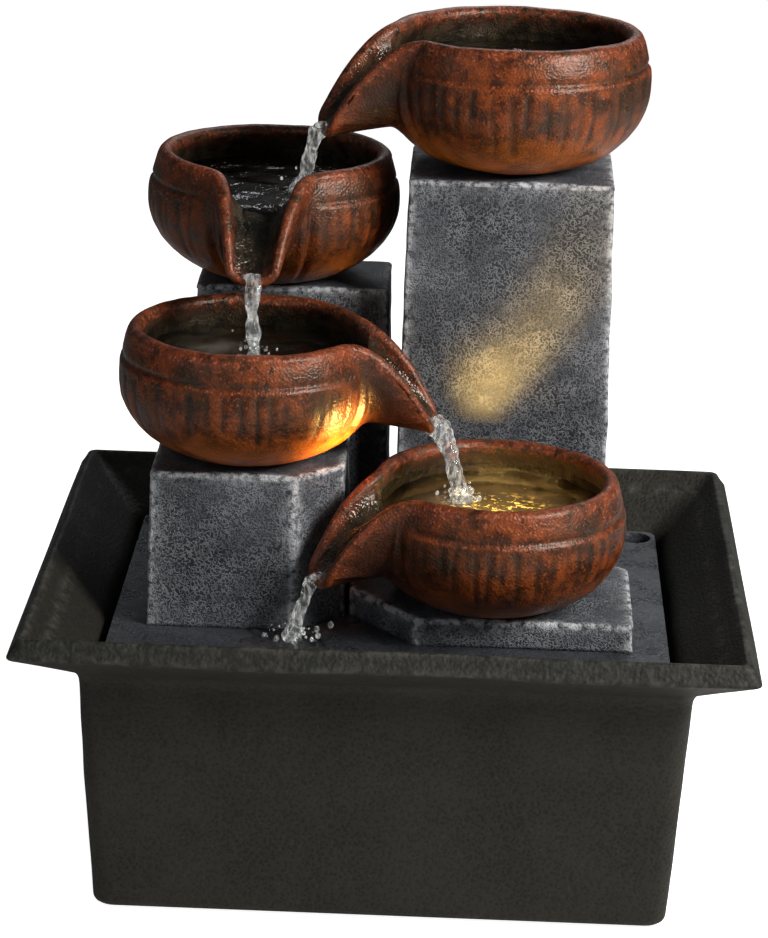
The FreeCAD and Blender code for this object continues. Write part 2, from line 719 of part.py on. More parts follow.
volute_box = pump_box("volute_box", "volute_back", "volute_front")
chamber = pump_rod("chamber", "chamber_radius", "volute_back", "volute_front - front_wall")
boss = pump_rod("volute_boss", "hub_radius", "bush_back", "volute_front")
nozzle = rod("nozzle", "tube_bore - run_fit", RISER + ("pump_top - front_wall",),
             "nozzle_length + front_wall")
nozzle_bore = rod("nozzle_way", "nozzle_bore", RISER + ("pump_axis + hub_radius + front_wall",),
                  "pump_height")
inlets = []
for number in range(4):
    angle = math.radians(45 + 90 * number)
    spot = f"{math.cos(angle):.4f} * inlet_circle", f"{math.sin(angle):.4f} * inlet_circle"
    inlets.append(pump_rod(f"inlet_{number}", "inlet_radius", "volute_front - 2 * front_wall",
                           "volute_front", *spot))
front_seat = pump_rod("front_seat", "bush_radius", "bush_back", "volute_front")
volute_body = fuse("volute_body", cut("volute_shell", volute_box, chamber), boss, nozzle)
volute_cover = cut("volute_cover", volute_body, nozzle_bore, front_seat, *inlets)



def bush(name, start, end):
    """A rubber ring that holds the shaft."""
    ring = pump_rod(name + "_ring", "bush_radius", start, end)
    return cut(name, ring, pump_rod(name + "_bore", "shaft_radius", start, end))


rear_bush = bush("rear_bush", "well_floor", "well_floor + bush_length")
front_bush = bush("front_bush", "bush_back", "volute_front")
impeller_shaft = pump_rod("impeller_shaft", "shaft_radius", "well_floor", "volute_front")
rotor_magnet = cut("rotor_magnet", pump_rod("magnet_outer", "rotor_radius", "rotor_back", "rotor_front"),
                   pump_rod("magnet_bore", "shaft_radius + run_fit", "rotor_back", "rotor_front"))
vanes = []
for number in range(5):
    vane = doc.addObject("Part::Box", f"vane_{number}")
    bind(vane, "Length", "hub_front - (disc_back)")
    bind(vane, "Width", "vane_radius - face_gap")
    bind(vane, "Height", "vane_thick")
    turn = FreeCAD.Rotation(FreeCAD.Vector(1, 0, 0), 72 * number)
    vane.Placement = FreeCAD.Placement(FreeCAD.Vector(), turn)
    for letter, text in zip("xyz", ("disc_back",) + AXIS):
        bind(vane, f"Placement.Base.{letter}", text)
    vanes.append(vane)
impeller_solid = fuse("impeller_solid", pump_rod("hub", "hub_radius", "rotor_front", "hub_front"),
                      pump_rod("impeller_disc", "vane_radius", "disc_back", "disc_back + vane_thick"), *vanes)
impeller = cut("impeller", impeller_solid,
               pump_rod("impeller_bore", "shaft_radius + run_fit", "rotor_front", "hub_front"))

cap_outer = pump_box("cap_outer", "cap_back", "cap_front")
cap_inner = pump_box("cap_inner", "cap_back", "cap_front - cap_wall", "cap_wall")
openings = [pump_rod("cap_pin_hole", "dial_pin + run_fit", "cap_back", "cap_front")]
for side in (1, -1):
    aside = f"{side} * window_circle"
    openings.append(pump_rod(f"cap_window_{len(openings)}", "window_radius", "cap_back", "cap_front", "0",
                             aside))
    for step in range(2):
        middle = f"riser_y + {side} * (slot_aside + {step} * slot_pitch)"
        low = ("cap_back", f"{middle} - slot_width / 2", "pump_axis - slot_height / 2")
        high = ("cap_front", f"{middle} + slot_width / 2", "pump_axis + slot_height / 2")
        openings.append(box(f"cap_slot_{len(openings)}", low, high))
intake_cover = cut("intake_cover", cut("cap_shell", cap_outer, cap_inner), *openings)

PIN_HEAD = "cap_front - cap_wall - face_gap / 2 - dial_head_thick"
GRIP_HALF = "dial_radius * 0.85"
dial_disc = pump_rod("dial_disc", "dial_radius", "dial_back", "dial_back + dial_thick")
dial_pin = pump_rod("dial_stem", "dial_pin", PIN_HEAD, "dial_back + dial_thick / 2")
dial_head = pump_rod("dial_head", "dial_pin + dial_head", PIN_HEAD, f"{PIN_HEAD} + dial_head_thick")
grip_low = ("dial_back + dial_thick / 2", f"riser_y - {GRIP_HALF}", "pump_axis - dial_thick / 2")
grip_high = ("dial_back + 2 * dial_thick", f"riser_y + {GRIP_HALF}", "pump_axis + dial_thick / 2")
grip = box("dial_grip", grip_low, grip_high)
dial_windows = [
    pump_rod(f"dial_window_{name}", "window_radius", "dial_back", "dial_back + dial_thick", "0", above)
    for name, above in (("high", "window_circle"), ("low", "-window_circle"))
]
flow_dial = cut("flow_dial", fuse("dial_body", dial_disc, dial_pin, dial_head, grip), *dial_windows)

cups = []
for along in ("motor_back + cup_radius", "volute_front - cup_radius"):
    for side in (1, -1):
        spot = (along, f"riser_y + {side} * (pump_half - cup_radius)")
        number = len(cups) + 1
        cone = doc.addObject("Part::Cone", f"cup_cone_{number}")
        bind(cone, "Radius1", "cup_radius")
        bind(cone, "Radius2", "cup_radius / 2")
        bind(cone, "Height", "cup_height - 1")
        place(cone, spot + ("floor_top",))
        stem = rod(f"cup_stem_{number}", "cup_radius / 3", spot + ("floor_top + cup_height / 2",),
                   "cup_height / 2")
        cups.append(fuse(f"cup_{number}", cone, stem))
suction_cups = group("suction_cups", *cups)

# The gland is the potting's rear mouthpiece, where the lead enters the motor.
GLAND_UP = "pump_height / 4"
GLAND_BACK, GLAND_FRONT = "motor_back - gland_length", "motor_back + resin_sunk"
gland_outer = pump_rod("gland_outer", "lead_radius + gland_wall", GLAND_BACK, GLAND_FRONT, "0", GLAND_UP)
gland_bore = pump_rod("gland_bore", "lead_radius", GLAND_BACK, GLAND_FRONT, "0", GLAND_UP)
pump_gland = cut("pump_gland", gland_outer, gland_bore)

# ---------------------------------------------------------------- lamp
LENS_RADIUS = "lamp_radius - lamp_wall"
LENS_BASE = "lamp_top - lens_thick"
can = rod("lamp_can", "lamp_radius", LAMP + ("lamp_base",), "lamp_top - lamp_base")
flange = rod("lamp_flange_disc", "lamp_flange", LAMP + ("post_top - lamp_lip",), "lamp_lip")
can_bore = rod("lamp_bore", LENS_RADIUS, LAMP + ("lamp_base + lamp_lip",), "lamp_top - lamp_base")
led_housing = cut("led_housing", fuse("lamp_body", can, flange), can_bore)
led_lens = rod("led_lens", LENS_RADIUS, LAMP + (LENS_BASE,), "lens_thick")
led_seal = doc.addObject("Part::Torus", "led_seal")
bind(led_seal, "Radius1", f"{LENS_RADIUS} - seal_round")
bind(led_seal, "Radius2", "seal_round")
place(led_seal, LAMP + (f"{LENS_BASE} - seal_round",))
BOARD_TOP = f"{LENS_BASE} - 2 * seal_round"
board = rod("board_disc", LENS_RADIUS, LAMP + (f"{BOARD_TOP} - board_thick",), "board_thick")
chip = rod("board_chip", "chip_radius", LAMP + (BOARD_TOP,), "chip_thick")
led_board = fuse("led_board", board, chip)

# ---------------------------------------------------------------- check and write
NODES = [
    tub, rubber_feet, cord_grommet,
    deck_plate, tall_pillar, mid_pillar, short_pillar, low_plinth,
    bowl_top, bowl_back, bowl_front, bowl_low,
    riser_tube, top_spigot,
    pump_housing, potting, stator_core, stator_coil, volute_cover,
    rear_bush, front_bush, impeller_shaft, rotor_magnet, impeller,
    intake_cover, flow_dial, suction_cups, pump_gland,
    led_housing, led_lens, led_seal, led_board,
]
doc.recompute()
for item in doc.Objects:
    if "Invalid" in item.State or "Error" in item.State:
        raise RuntimeError(f"{item.Label} failed: {item.State}")
for node in NODES:
    if node.Shape.isNull() or not node.Shape.isValid():
        raise RuntimeError(f"{node.Label} has no valid shape")
os.makedirs("parts", exist_ok=True)
for node in NODES:
    node.Shape.exportStep(f"parts/{node.Label}.step")
    print(f"{node.Label}: {len(node.Shape.Solids)} solid(s), {node.Shape.Volume:.0f} mm3")
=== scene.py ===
"""Tabletop fountain: four pouring bowls on slate-look columns over a black tub."""
import math

import bmesh
import bpy
import numpy as np
from mathutils import Matrix, Vector


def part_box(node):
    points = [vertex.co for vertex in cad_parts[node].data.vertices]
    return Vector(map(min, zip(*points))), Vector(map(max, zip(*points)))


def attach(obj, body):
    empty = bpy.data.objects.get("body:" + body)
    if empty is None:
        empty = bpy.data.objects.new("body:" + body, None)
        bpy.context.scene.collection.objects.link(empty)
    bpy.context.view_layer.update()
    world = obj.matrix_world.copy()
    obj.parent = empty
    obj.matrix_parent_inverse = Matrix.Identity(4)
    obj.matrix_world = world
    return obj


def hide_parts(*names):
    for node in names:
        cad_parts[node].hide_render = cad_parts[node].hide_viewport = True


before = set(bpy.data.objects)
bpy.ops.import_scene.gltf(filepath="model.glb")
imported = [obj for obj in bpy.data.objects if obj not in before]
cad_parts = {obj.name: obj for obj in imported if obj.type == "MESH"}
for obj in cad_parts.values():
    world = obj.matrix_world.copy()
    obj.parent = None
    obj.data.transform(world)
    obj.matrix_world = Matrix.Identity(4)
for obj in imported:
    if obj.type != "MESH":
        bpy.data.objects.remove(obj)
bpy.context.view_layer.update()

# ---------------------------------------------------------------- tub
# The tub is one vacuum-formed shell of black ABS with a fine leather grain. Its wall leans out
# a little, turns out into a broad flare and ends in a bevelled rim. Four posts carry the deck.

MM = 0.001


def swing(points, length, seed, waves=28):
    """Smooth seeded unevenness: a sum of cosine waves of about one length in random directions."""
    draw = np.random.default_rng(seed)
    ways = draw.normal(size=(waves, 3))
    ways /= np.linalg.norm(ways, axis=1)[:, None]
    ways *= (2 * np.pi / length * draw.uniform(0.7, 1.4, waves))[:, None]
    phases = draw.uniform(0, 2 * np.pi, waves)
    total = np.zeros(points.shape[:-1])
    for way, phase in zip(ways, phases):
        total += np.cos(points @ way + phase)
    return total * math.sqrt(2 / waves)


def ease(value, start, end):
    """Smooth step from 0 at start to 1 at end."""
    share = np.clip((value - start) / (end - start), 0, 1)
    return share * share * (3 - 2 * share)


def lay(name, grid, poles=(None, None), fields=None):
    """A closed mesh from rows of points (row, column, xyz) in millimetres: quads join each row to
    the next, columns wrap round, and a pole point closes the first and the last row."""
    rows, columns = grid.shape[:2]
    index = np.arange(rows * columns).reshape(rows, columns)
    after = np.roll(index, -1, axis=1)
    quads = np.stack([index[:-1], after[:-1], after[1:], index[1:]], axis=-1).reshape(-1, 4)
    points = [grid.reshape(-1, 3)]
    fans = []
    for pole, row, flip in ((poles[0], 0, True), (poles[1], rows - 1, False)):
        if pole is None:
            continue
        tip = np.full(columns, sum(len(p) for p in points))
        points.append(np.array([pole], float))
        ring = (after[row], index[row]) if flip else (index[row], after[row])
        fans.append(np.stack([*ring, tip], axis=-1))
    loops = [quads.ravel()] + [fan.ravel() for fan in fans]
    sizes = [np.full(len(quads), 4)] + [np.full(len(fan), 3) for fan in fans]
    return mesh_of(name, np.concatenate(points), np.concatenate(loops), np.concatenate(sizes), fields)


def mesh_of(name, points, loops, sizes, fields=None):
    """An object from points in millimetres, corner indices and face sizes, shaded smooth."""
    mesh = bpy.data.meshes.new(name)
    mesh.vertices.add(len(points))
    mesh.vertices.foreach_set("co", (points * MM).astype(np.float32).ravel())
    mesh.loops.add(len(loops))
    mesh.loops.foreach_set("vertex_index", loops.astype(np.int32))
    mesh.polygons.add(len(sizes))
    starts = np.concatenate([[0], np.cumsum(sizes)[:-1]])
    mesh.polygons.foreach_set("loop_start", starts.astype(np.int32))
    mesh.polygons.foreach_set("use_smooth", np.ones(len(sizes), bool))
    mesh.update(calc_edges=True)
    mesh.validate()
    for title, values in (fields or {}).items():
        values = np.concatenate([np.ravel(values), np.zeros(len(points) - np.size(values))])
        mesh.attributes.new(title, "FLOAT", "POINT").data.foreach_set("value", values.astype(np.float32))
    return placed(name, mesh)


def placed(name, data):
    """A new object of the scene that holds the data."""
    item = bpy.data.objects.new(name, data)
    bpy.context.scene.collection.objects.link(item)
    return item


def lifted(rings, heights):
    """Rings of (x, y) points, each ring given one height."""
    return np.concatenate([rings, np.broadcast_to(heights[:, None, None], rings.shape[:2] + (1,))], -1)


def soften(corners, radii, steps=6):
    """A polyline whose corners are rounded: each becomes a parabola that starts its radius away."""
    corners = np.array(corners, float)
    line = [corners[0]]
    for before, here, behind, radius in zip(corners[:-2], corners[1:-1], corners[2:], radii):
        towards, onward = before - here, behind - here
        start = here + towards * min(radius / np.linalg.norm(towards), 0.49)
        end = here + onward * min(radius / np.linalg.norm(onward), 0.49)
        for share in np.linspace(0, 1, steps):
            line.append((1 - share) ** 2 * start + 2 * share * (1 - share) * here + share ** 2 * end)
    line.append(corners[-1])
    return np.array(line)


def fill_in(line, spacing):
    """The same line with points added so that no step is longer than spacing."""
    steps = np.linalg.norm(np.diff(line, axis=0), axis=1)
    parts = [np.linspace(a, b, max(int(math.ceil(s / spacing)), 1), endpoint=False)
             for a, b, s in zip(line[:-1], line[1:], steps) if s > 1e-6]
    return np.concatenate(parts + [line[-1:]])


def round_box(half_x, half_y, radius, side=70, corner=8):
    """Rings about the origin: four sides and four quarter circles, for arrays of half sizes."""
    half_x, half_y, radius = np.broadcast_arrays(half_x, half_y, radius)
    turn = np.linspace(0, np.pi / 2, corner)
    ring = []
    for quarter, (sx, sy) in enumerate(((1, 1), (-1, 1), (-1, -1), (1, -1))):
        angle = turn + quarter * np.pi / 2
        centre = np.stack([sx * (half_x - radius), sy * (half_y - radius)], -1)[:, None]
        arc = centre + radius[:, None, None] * np.stack([np.cos(angle), np.sin(angle)], -1)[None]
        ring.append(arc)
    joined = []
    for number, arc in enumerate(ring):
        following = ring[(number + 1) % 4]
        share = np.linspace(0, 1, side + 2)[1:-1][None, :, None]
        joined += [arc, arc[:, -1:] * (1 - share) + following[:, :1] * share]
    return np.concatenate(joined, axis=1)


# The wall's section runs from the middle of the bottom out, up the outside, over the rim and back
# down the inside to the floor, as (distance in from the box's side, height).
low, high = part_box("tub")
TUB_X, TUB_Y, TUB_TOP, TUB_BASE = high.x / MM, high.y / MM, high.z / MM, low.z / MM
RIM_EDGE = TUB_TOP - 5.1
FLARE_LOW = RIM_EDGE - 10.7
TUB_FLOOR = TUB_BASE + 3.0
tub_section = soften(
    [(60, TUB_BASE), (21.9, TUB_BASE), (17.8, FLARE_LOW), (0, RIM_EDGE), (3.2, TUB_TOP), (4.6, TUB_TOP),
     (20.8, FLARE_LOW), (24.9, TUB_FLOOR), (60, TUB_FLOOR)],
    [3.0, 3.5, 1.1, 0.7, 0.6, 3.0, 3.0])
tub_section = fill_in(tub_section, 1.6)
inset, level = tub_section[:, 0], tub_section[:, 1]
ring_radius = 2.2 + 3.0 * ease(inset, 2, 18)
ring_xy = round_box(TUB_X - inset, TUB_Y - inset, ring_radius)
tub_grid = lifted(ring_xy, level)
wave = swing(tub_grid, 70, 3) * 0.22 + swing(tub_grid, 18, 4) * 0.05
away = tub_grid * [1, 1, 0]
away /= np.linalg.norm(away, axis=-1, keepdims=True)
hold = (ease(inset, 0, 2.5) * ease(level, TUB_BASE + 2, 12))[:, None]
tub_grid += away * (wave * hold)[..., None]
flare = ease(level, FLARE_LOW, RIM_EDGE) * ease(-level, -TUB_TOP, 3 - TUB_TOP)
tub_grid[..., 2] += swing(tub_grid, 60, 5) * 0.18 * flare[:, None]
worn = np.exp(-((level - RIM_EDGE) / 1.2) ** 2) + np.exp(-((level - TUB_TOP) / 0.6) ** 2)
band = ease(level, RIM_EDGE - 1.0, RIM_EDGE + 0.6) * (inset < 4.7)
spread = np.ones(tub_grid.shape[:2])
tub = lay("tub_shell", tub_grid[::-1], ((0, 0, TUB_FLOOR), (0, 0, TUB_BASE)),
          {"worn": (worn[:, None] * spread)[::-1], "band": (band[:, None] * spread)[::-1]})


def drill(item, centre, radius, length):
    """Bores a round hole along Y through the object and keeps the result as its mesh."""
    angle = np.linspace(0, 2 * np.pi, 49)[:-1]
    ring = np.stack([np.cos(angle) * radius, 0 * angle, np.sin(angle) * radius], -1)
    ends = np.array(centre) + np.array([[0, -length / 2, 0], [0, length / 2, 0]])
    tool = lay("bore_tool", ring[None] + ends[:, None], ends)
    bore = item.modifiers.new("bore", "BOOLEAN")
    bore.operation, bore.solver, bore.object = "DIFFERENCE", "EXACT", tool
    graph = bpy.context.evaluated_depsgraph_get()
    cut = bpy.data.meshes.new_from_object(item.evaluated_get(graph))
    item.modifiers.clear()
    item.data = cut
    bpy.data.objects.remove(tool)


LEAD_HOLE_RADIUS, BORE_LENGTH = 4.6, 14
low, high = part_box("cord_grommet")
drill(tub, [(low[i] + high[i]) / 2 / MM for i in range(3)], LEAD_HOLE_RADIUS, BORE_LENGTH)


def put(tree, kind, settings=None, **sockets):
    """Adds a shader node. A socket's value is a number, a colour or another node's output."""
    node = tree.nodes.new("ShaderNode" + kind)
    for name, value in (settings or {}).items():
        setattr(node, name, value)
    for name, value in sockets.items():
        key = int(name[1:]) if name[0] == "i" and name[1:].isdigit() else name.replace("_", " ")
        if isinstance(value, bpy.types.NodeSocket):
            tree.links.new(value, node.inputs[key])
        elif value is not None:
            node.inputs[key].default_value = value
    return node


def mix(tree, share, first, second, blend="MIX"):
    """Mixes two colours."""
    first, second = ((*c, 1) if isinstance(c, tuple) and len(c) == 3 else c for c in (first, second))
    node = put(tree, "Mix", {"data_type": "RGBA", "blend_type": blend}, i0=share, i6=first, i7=second)
    return node.outputs[2]


def maths(tree, operation, *values, clamp=False):
    """A Math node on numbers or sockets."""
    sockets = {f"i{n}": value for n, value in enumerate(values)}
    return put(tree, "Math", {"operation": operation, "use_clamp": clamp}, **sockets).outputs[0]


def coat(tree, base, mask, amount, colour, clamp=False):
    """Lays a colour over base where the mask is, at most by amount."""
    return mix(tree, maths(tree, "MULTIPLY", mask, amount, clamp=clamp), base, colour)


def noise(tree, place, scale, detail=3.0, rough=0.55, distort=0.0):
    """Grey noise."""
    return put(tree, "TexNoise", None, Vector=place, Scale=scale, Detail=detail, Roughness=rough,
               Distortion=distort).outputs[0]


def warp(tree, place, scale, detail, reach):
    """The place pushed about by a coloured noise, by up to reach metres."""
    drift = put(tree, "TexNoise", None, Vector=place, Scale=scale, Detail=detail).outputs[1]
    push = put(tree, "VectorMath", {"operation": "MULTIPLY_ADD"}, i0=drift, i1=(reach,) * 3, i2=place)
    return push.outputs[0]


def remap(tree, value, start, end, low=0.0, high=1.0):
    """A clamped smooth step from low at start to high at end."""
    node = put(tree, "MapRange", {"interpolation_type": "SMOOTHSTEP"}, Value=value)
    for key, number in zip(("From Min", "From Max", "To Min", "To Max"), (start, end, low, high)):
        node.inputs[key].default_value = number
    return node.outputs[0]


def field(tree, title):
    """A number that the mesh carries at each point."""
    return put(tree, "Attribute", {"attribute_name": title}).outputs["Fac"]


def group(name, inputs, outputs, build):
    """A shader node group: inputs are (name, default) numbers, outputs are (name, kind)."""
    tree = bpy.data.node_groups.new(name, "ShaderNodeTree")
    for title, value in inputs:
        socket = tree.interface.new_socket(title, in_out="INPUT", socket_type="NodeSocketFloat")
        socket.default_value = value
    for title, kind in outputs:
        tree.interface.new_socket(title, in_out="OUTPUT", socket_type="NodeSocket" + kind)
    entry, ending = tree.nodes.new("NodeGroupInput"), tree.nodes.new("NodeGroupOutput")
    for title, socket in build(tree, entry.outputs).items():
        tree.links.new(socket, ending.inputs[title])
    return tree


def use(tree, what, **values):
    """Places a node group with its own values and returns its outputs."""
    node = tree.nodes.new("ShaderNodeGroup")
    node.node_tree = what
    for name, value in values.items():
        key = name.replace("_", " ")
        if isinstance(value, bpy.types.NodeSocket):
            tree.links.new(value, node.inputs[key])
        else:
            node.inputs[key].default_value = value
    return node.outputs


def finish_of(name, build, **plain):
    """A material: build(tree, place) returns the linked sockets of its Principled shader."""
    material = bpy.data.materials.new(name)
    material.use_nodes = True
    tree = material.node_tree
    shader = next(n for n in tree.nodes if n.type == "BSDF_PRINCIPLED")
    place = put(tree, "TexCoord").outputs["Object"]
    for title, value in plain.items():
        shader.inputs[title.replace("_", " ")].default_value = value
    for title, socket in build(tree, place).items():
        tree.links.new(socket, shader.inputs[title])
    return material


def bump(tree, height, strength, depth, under=None):
    """Normal from a height of 0 to 1 that is depth metres high."""
    return put(tree, "Bump", None, Height=height, Strength=strength, Distance=depth,
               Normal=under).outputs[0]


def grain_nodes(tree, given):
    """Leather-like cells with finer pits, and slow patches of wear."""
    place = put(tree, "TexCoord").outputs["Object"]
    bent = warp(tree, place, 320.0, 2.0, 0.0011)
    cells = put(tree, "TexVoronoi", {"feature": "SMOOTH_F1"}, Vector=bent,
                Scale=given["Cells"], Smoothness=0.6).outputs["Distance"]
    pits = noise(tree, place, 2600.0, 2.0)
    height = maths(tree, "MULTIPLY_ADD", cells, 0.75, maths(tree, "MULTIPLY", pits, 0.3))
    patches = remap(tree, noise(tree, place, 42.0, 4.0, 0.6), 0.36, 0.66)
    specks = remap(tree, noise(tree, place, 900.0, 3.0, 0.7), 0.56, 0.74)
    return {"Height": height, "Patches": patches, "Specks": specks}


GRAIN = group("leather_grain", [("Cells", 900.0)],
              [("Height", "Float"), ("Patches", "Float"), ("Specks", "Float")], grain_nodes)


def tub_plastic(tree, place):
    grain = use(tree, GRAIN, Cells=880.0)
    streaks = put(tree, "Mapping", None, Vector=place, Scale=(1.0, 1.0, 0.12)).outputs[0]
    streaks = remap(tree, noise(tree, streaks, 900.0, 3.0), 0.42, 0.68)
    base = mix(tree, grain["Patches"], (0.0036, 0.0036, 0.0024), (0.0085, 0.0078, 0.0050))
    pebbles = remap(tree, grain["Height"], 0.22, 0.62)
    base = coat(tree, base, pebbles, 0.55, (0.0235, 0.0215, 0.0150))
    base = coat(tree, base, grain["Specks"], 0.45, (0.046, 0.041, 0.029))
    rim = mix(tree, streaks, (0.010, 0.0105, 0.009), (0.028, 0.028, 0.022))
    base = mix(tree, field(tree, "band"), base, rim)
    rubs = field(tree, "worn"), remap(tree, noise(tree, place, 260.0, 4.0), 0.4, 0.7)
    scuff = maths(tree, "MULTIPLY", *rubs)
    base = coat(tree, base, scuff, 0.5, (0.085, 0.082, 0.070), clamp=True)
    rough = maths(tree, "MULTIPLY_ADD", grain["Patches"], -0.10, 0.68)
    return {"Base Color": base, "Roughness": rough, "Normal": bump(tree, grain["Height"], 0.8, 0.00030)}


TUB_PLASTIC = finish_of("tub_plastic", tub_plastic, Specular_IOR_Level=0.28)
tub.data.materials.clear()
tub.data.materials.append(TUB_PLASTIC)
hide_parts("tub")
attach(tub, "base")

POST_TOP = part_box("deck_plate")[0].z / MM
POST_SIDE, POST_SPREAD, POST_OUT = 9.0, 30.0, TUB_X - 21.9 - 1.5
for number, (sx, sy) in enumerate(((1, 1), (-1, 1), (-1, -1), (1, -1)), 1):
    heights = fill_in(soften([(0.6, TUB_FLOOR - 1.5), (0, TUB_FLOOR - 1), (0, POST_TOP), (1.2, POST_TOP)],
                             [0.4, 0.5]), 6)
    square = round_box(POST_SIDE / 2 - heights[:, 0], POST_SIDE / 2 - heights[:, 0], 0.6, side=3, corner=4)
    middle = np.array([sx * (POST_OUT - POST_SIDE / 2), sy * POST_SPREAD])
    post = lay(f"tub_post_{number}", lifted(square + middle, heights[:, 1]),
               ((*middle, heights[0, 1]), (*middle, heights[-1, 1])))
    post.data.materials.append(TUB_PLASTIC)
    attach(post, "base")

# ---------------------------------------------------------------- feet and grommet
# Four thin rubber pads are stuck under the tub. A rubber ring in its back wall lets the pump's
# lead out.


def moulded(name, dark, pale, grain=2200.0, rough=0.55, depth=0.00006, **plain):
    """A moulded material: slow patches between two colours, fine grain and a light bump."""
    def build(tree, place):
        slow = remap(tree, noise(tree, place, 60.0, 4.0), 0.35, 0.68)
        fine = noise(tree, place, grain, 3.0, 0.6)
        colour = mix(tree, slow, dark, pale)
        fleck = tuple(min(c * 1.6, 1) for c in pale)
        colour = mix(tree, remap(tree, fine, 0.6, 0.8, 0.0, 0.35), colour, fleck)
        rougher = maths(tree, "MULTIPLY_ADD", slow, 0.12, rough - 0.06)
        return {"Base Color": colour, "Roughness": rougher, "Normal": bump(tree, fine, 0.4, depth)}
    return finish_of(name, build, **plain)


def dress(node, material):
    """Gives a CAD node's own object the material in each of its slots."""
    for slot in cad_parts[node].material_slots:
        slot.material = material


RUBBER = moulded("black_rubber", (0.012, 0.012, 0.012), (0.024, 0.023, 0.022), rough=0.7)
for node in ("rubber_feet", "cord_grommet"):
    dress(node, RUBBER)

# ---------------------------------------------------------------- pump and riser
# A small potted pump stands on suction cups on the tub's floor. Its rotor turns on a fixed
# ceramic shaft, a push-on cover with a dial closes the intake, and a soft tube goes up.

PUMP_PLASTIC = moulded("pump_plastic", (0.014, 0.015, 0.017), (0.026, 0.027, 0.030), rough=0.42)
COVER_PLASTIC = moulded("cover_plastic", (0.022, 0.023, 0.026), (0.036, 0.038, 0.041), rough=0.5)
WHITE_PLASTIC = moulded("white_plastic", (0.66, 0.66, 0.63), (0.78, 0.78, 0.75), rough=0.4)
RESIN = moulded("potting_resin", (0.013, 0.013, 0.015), (0.022, 0.022, 0.025), 900.0, rough=0.24)
FERRITE = moulded("ferrite", (0.035, 0.034, 0.034), (0.065, 0.062, 0.060), rough=0.58)
SHAFT = moulded("shaft_ceramic", (0.80, 0.79, 0.76), (0.88, 0.87, 0.84), rough=0.2)


def bands(tree, place, scale, distort):
    """Stripes side by side along X."""
    return put(tree, "TexWave", {"bands_direction": "X"}, Vector=place, Scale=scale,
               Distortion=distort).outputs[1]


def laminated(tree, place):
    """Thin steel sheets stacked along X, with a little rust between them."""
    sheets = bands(tree, place, 320.0, 0.4)
    rust = remap(tree, noise(tree, place, 500.0, 4.0), 0.52, 0.72)
    colour = mix(tree, sheets, (0.20, 0.20, 0.21), (0.46, 0.46, 0.47))
    colour = coat(tree, colour, rust, 0.5, (0.23, 0.11, 0.05))
    return {"Base Color": colour, "Roughness": remap(tree, rust, 0.0, 1.0, 0.36, 0.7),
            "Normal": bump(tree, sheets, 0.6, 0.0001)}


def winding(tree, place):
    """Turns of enamelled wire side by side along X."""
    turns = bands(tree, place, 500.0, 0.6)
    slow = noise(tree, place, 160.0, 3.0)
    colour = mix(tree, turns, (0.30, 0.10, 0.035), (0.72, 0.33, 0.13))
    colour = mix(tree, remap(tree, slow, 0.5, 0.8, 0.0, 0.4), colour, (0.45, 0.17, 0.06))
    return {"Base Color": colour, "Roughness": remap(tree, slow, 0.3, 0.7, 0.25, 0.42),
            "Normal": bump(tree, turns, 0.8, 0.00018)}


def soft_tube(tree, place):
    """Slightly clouded soft tube."""
    slow = noise(tree, place, 120.0, 3.0)
    return {"Base Color": mix(tree, slow, (0.62, 0.66, 0.66), (0.78, 0.80, 0.78)),
            "Roughness": remap(tree, slow, 0.3, 0.7, 0.12, 0.3),
            "Normal": bump(tree, noise(tree, place, 900.0), 0.2, 0.00005)}


STEEL = finish_of("core_steel", laminated, Metallic=0.9)
COPPER = finish_of("copper_wire", winding, Metallic=0.6)
TUBE = finish_of("clear_tube", soft_tube, Transmission_Weight=0.55, IOR=1.41)
for node, material in {
        "pump_housing": PUMP_PLASTIC, "volute_cover": PUMP_PLASTIC, "potting": RESIN, "stator_core": STEEL,
        "stator_coil": COPPER, "rear_bush": RUBBER, "front_bush": RUBBER, "pump_gland": RUBBER,
        "suction_cups": RUBBER, "impeller_shaft": SHAFT, "rotor_magnet": FERRITE, "impeller": WHITE_PLASTIC,
        "intake_cover": COVER_PLASTIC, "flow_dial": WHITE_PLASTIC, "riser_tube": TUBE,
        "top_spigot": WHITE_PLASTIC}.items():
    dress(node, material)

# ---------------------------------------------------------------- deck
# The deck is a flat casting of filled resin that lies on the tub's posts. It is painted like dark
# slate and has a finger hole in its back right corner.


def slate_nodes(tree, given):
    """Fine pale wrinkles on a dark ground: where a bent noise is near its middle the paint stays
    light, and slow patches and scattered specks break it up."""
    place = put(tree, "TexCoord").outputs["Object"]
    bent = warp(tree, place, 360.0, 1.0, 0.0009)
    fine = noise(tree, bent, given["Scale"], 1.2, 0.5)
    ridge = maths(tree, "ABSOLUTE", maths(tree, "SUBTRACT", fine, 0.5))
    wrinkles = remap(tree, ridge, 0.022, 0.105, 1.0, 0.0)
    slow = remap(tree, noise(tree, place, 34.0, 4.0, 0.62), 0.34, 0.66)
    drift = remap(tree, noise(tree, place, 110.0, 3.0, 0.6), 0.36, 0.64)
    specks = remap(tree, noise(tree, place, 1500.0, 2.0, 0.6), 0.60, 0.76)
    height = maths(tree, "MULTIPLY_ADD", wrinkles, 0.75, maths(tree, "MULTIPLY", specks, 0.25))
    return {"Wrinkles": wrinkles, "Patches": slow, "Drift": drift, "Specks": specks, "Height": height}


SLATE = group("slate_figure", [("Scale", 700.0)],
              [("Wrinkles", "Float"), ("Patches", "Float"), ("Drift", "Float"), ("Specks", "Float"),
               ("Height", "Float")], slate_nodes)


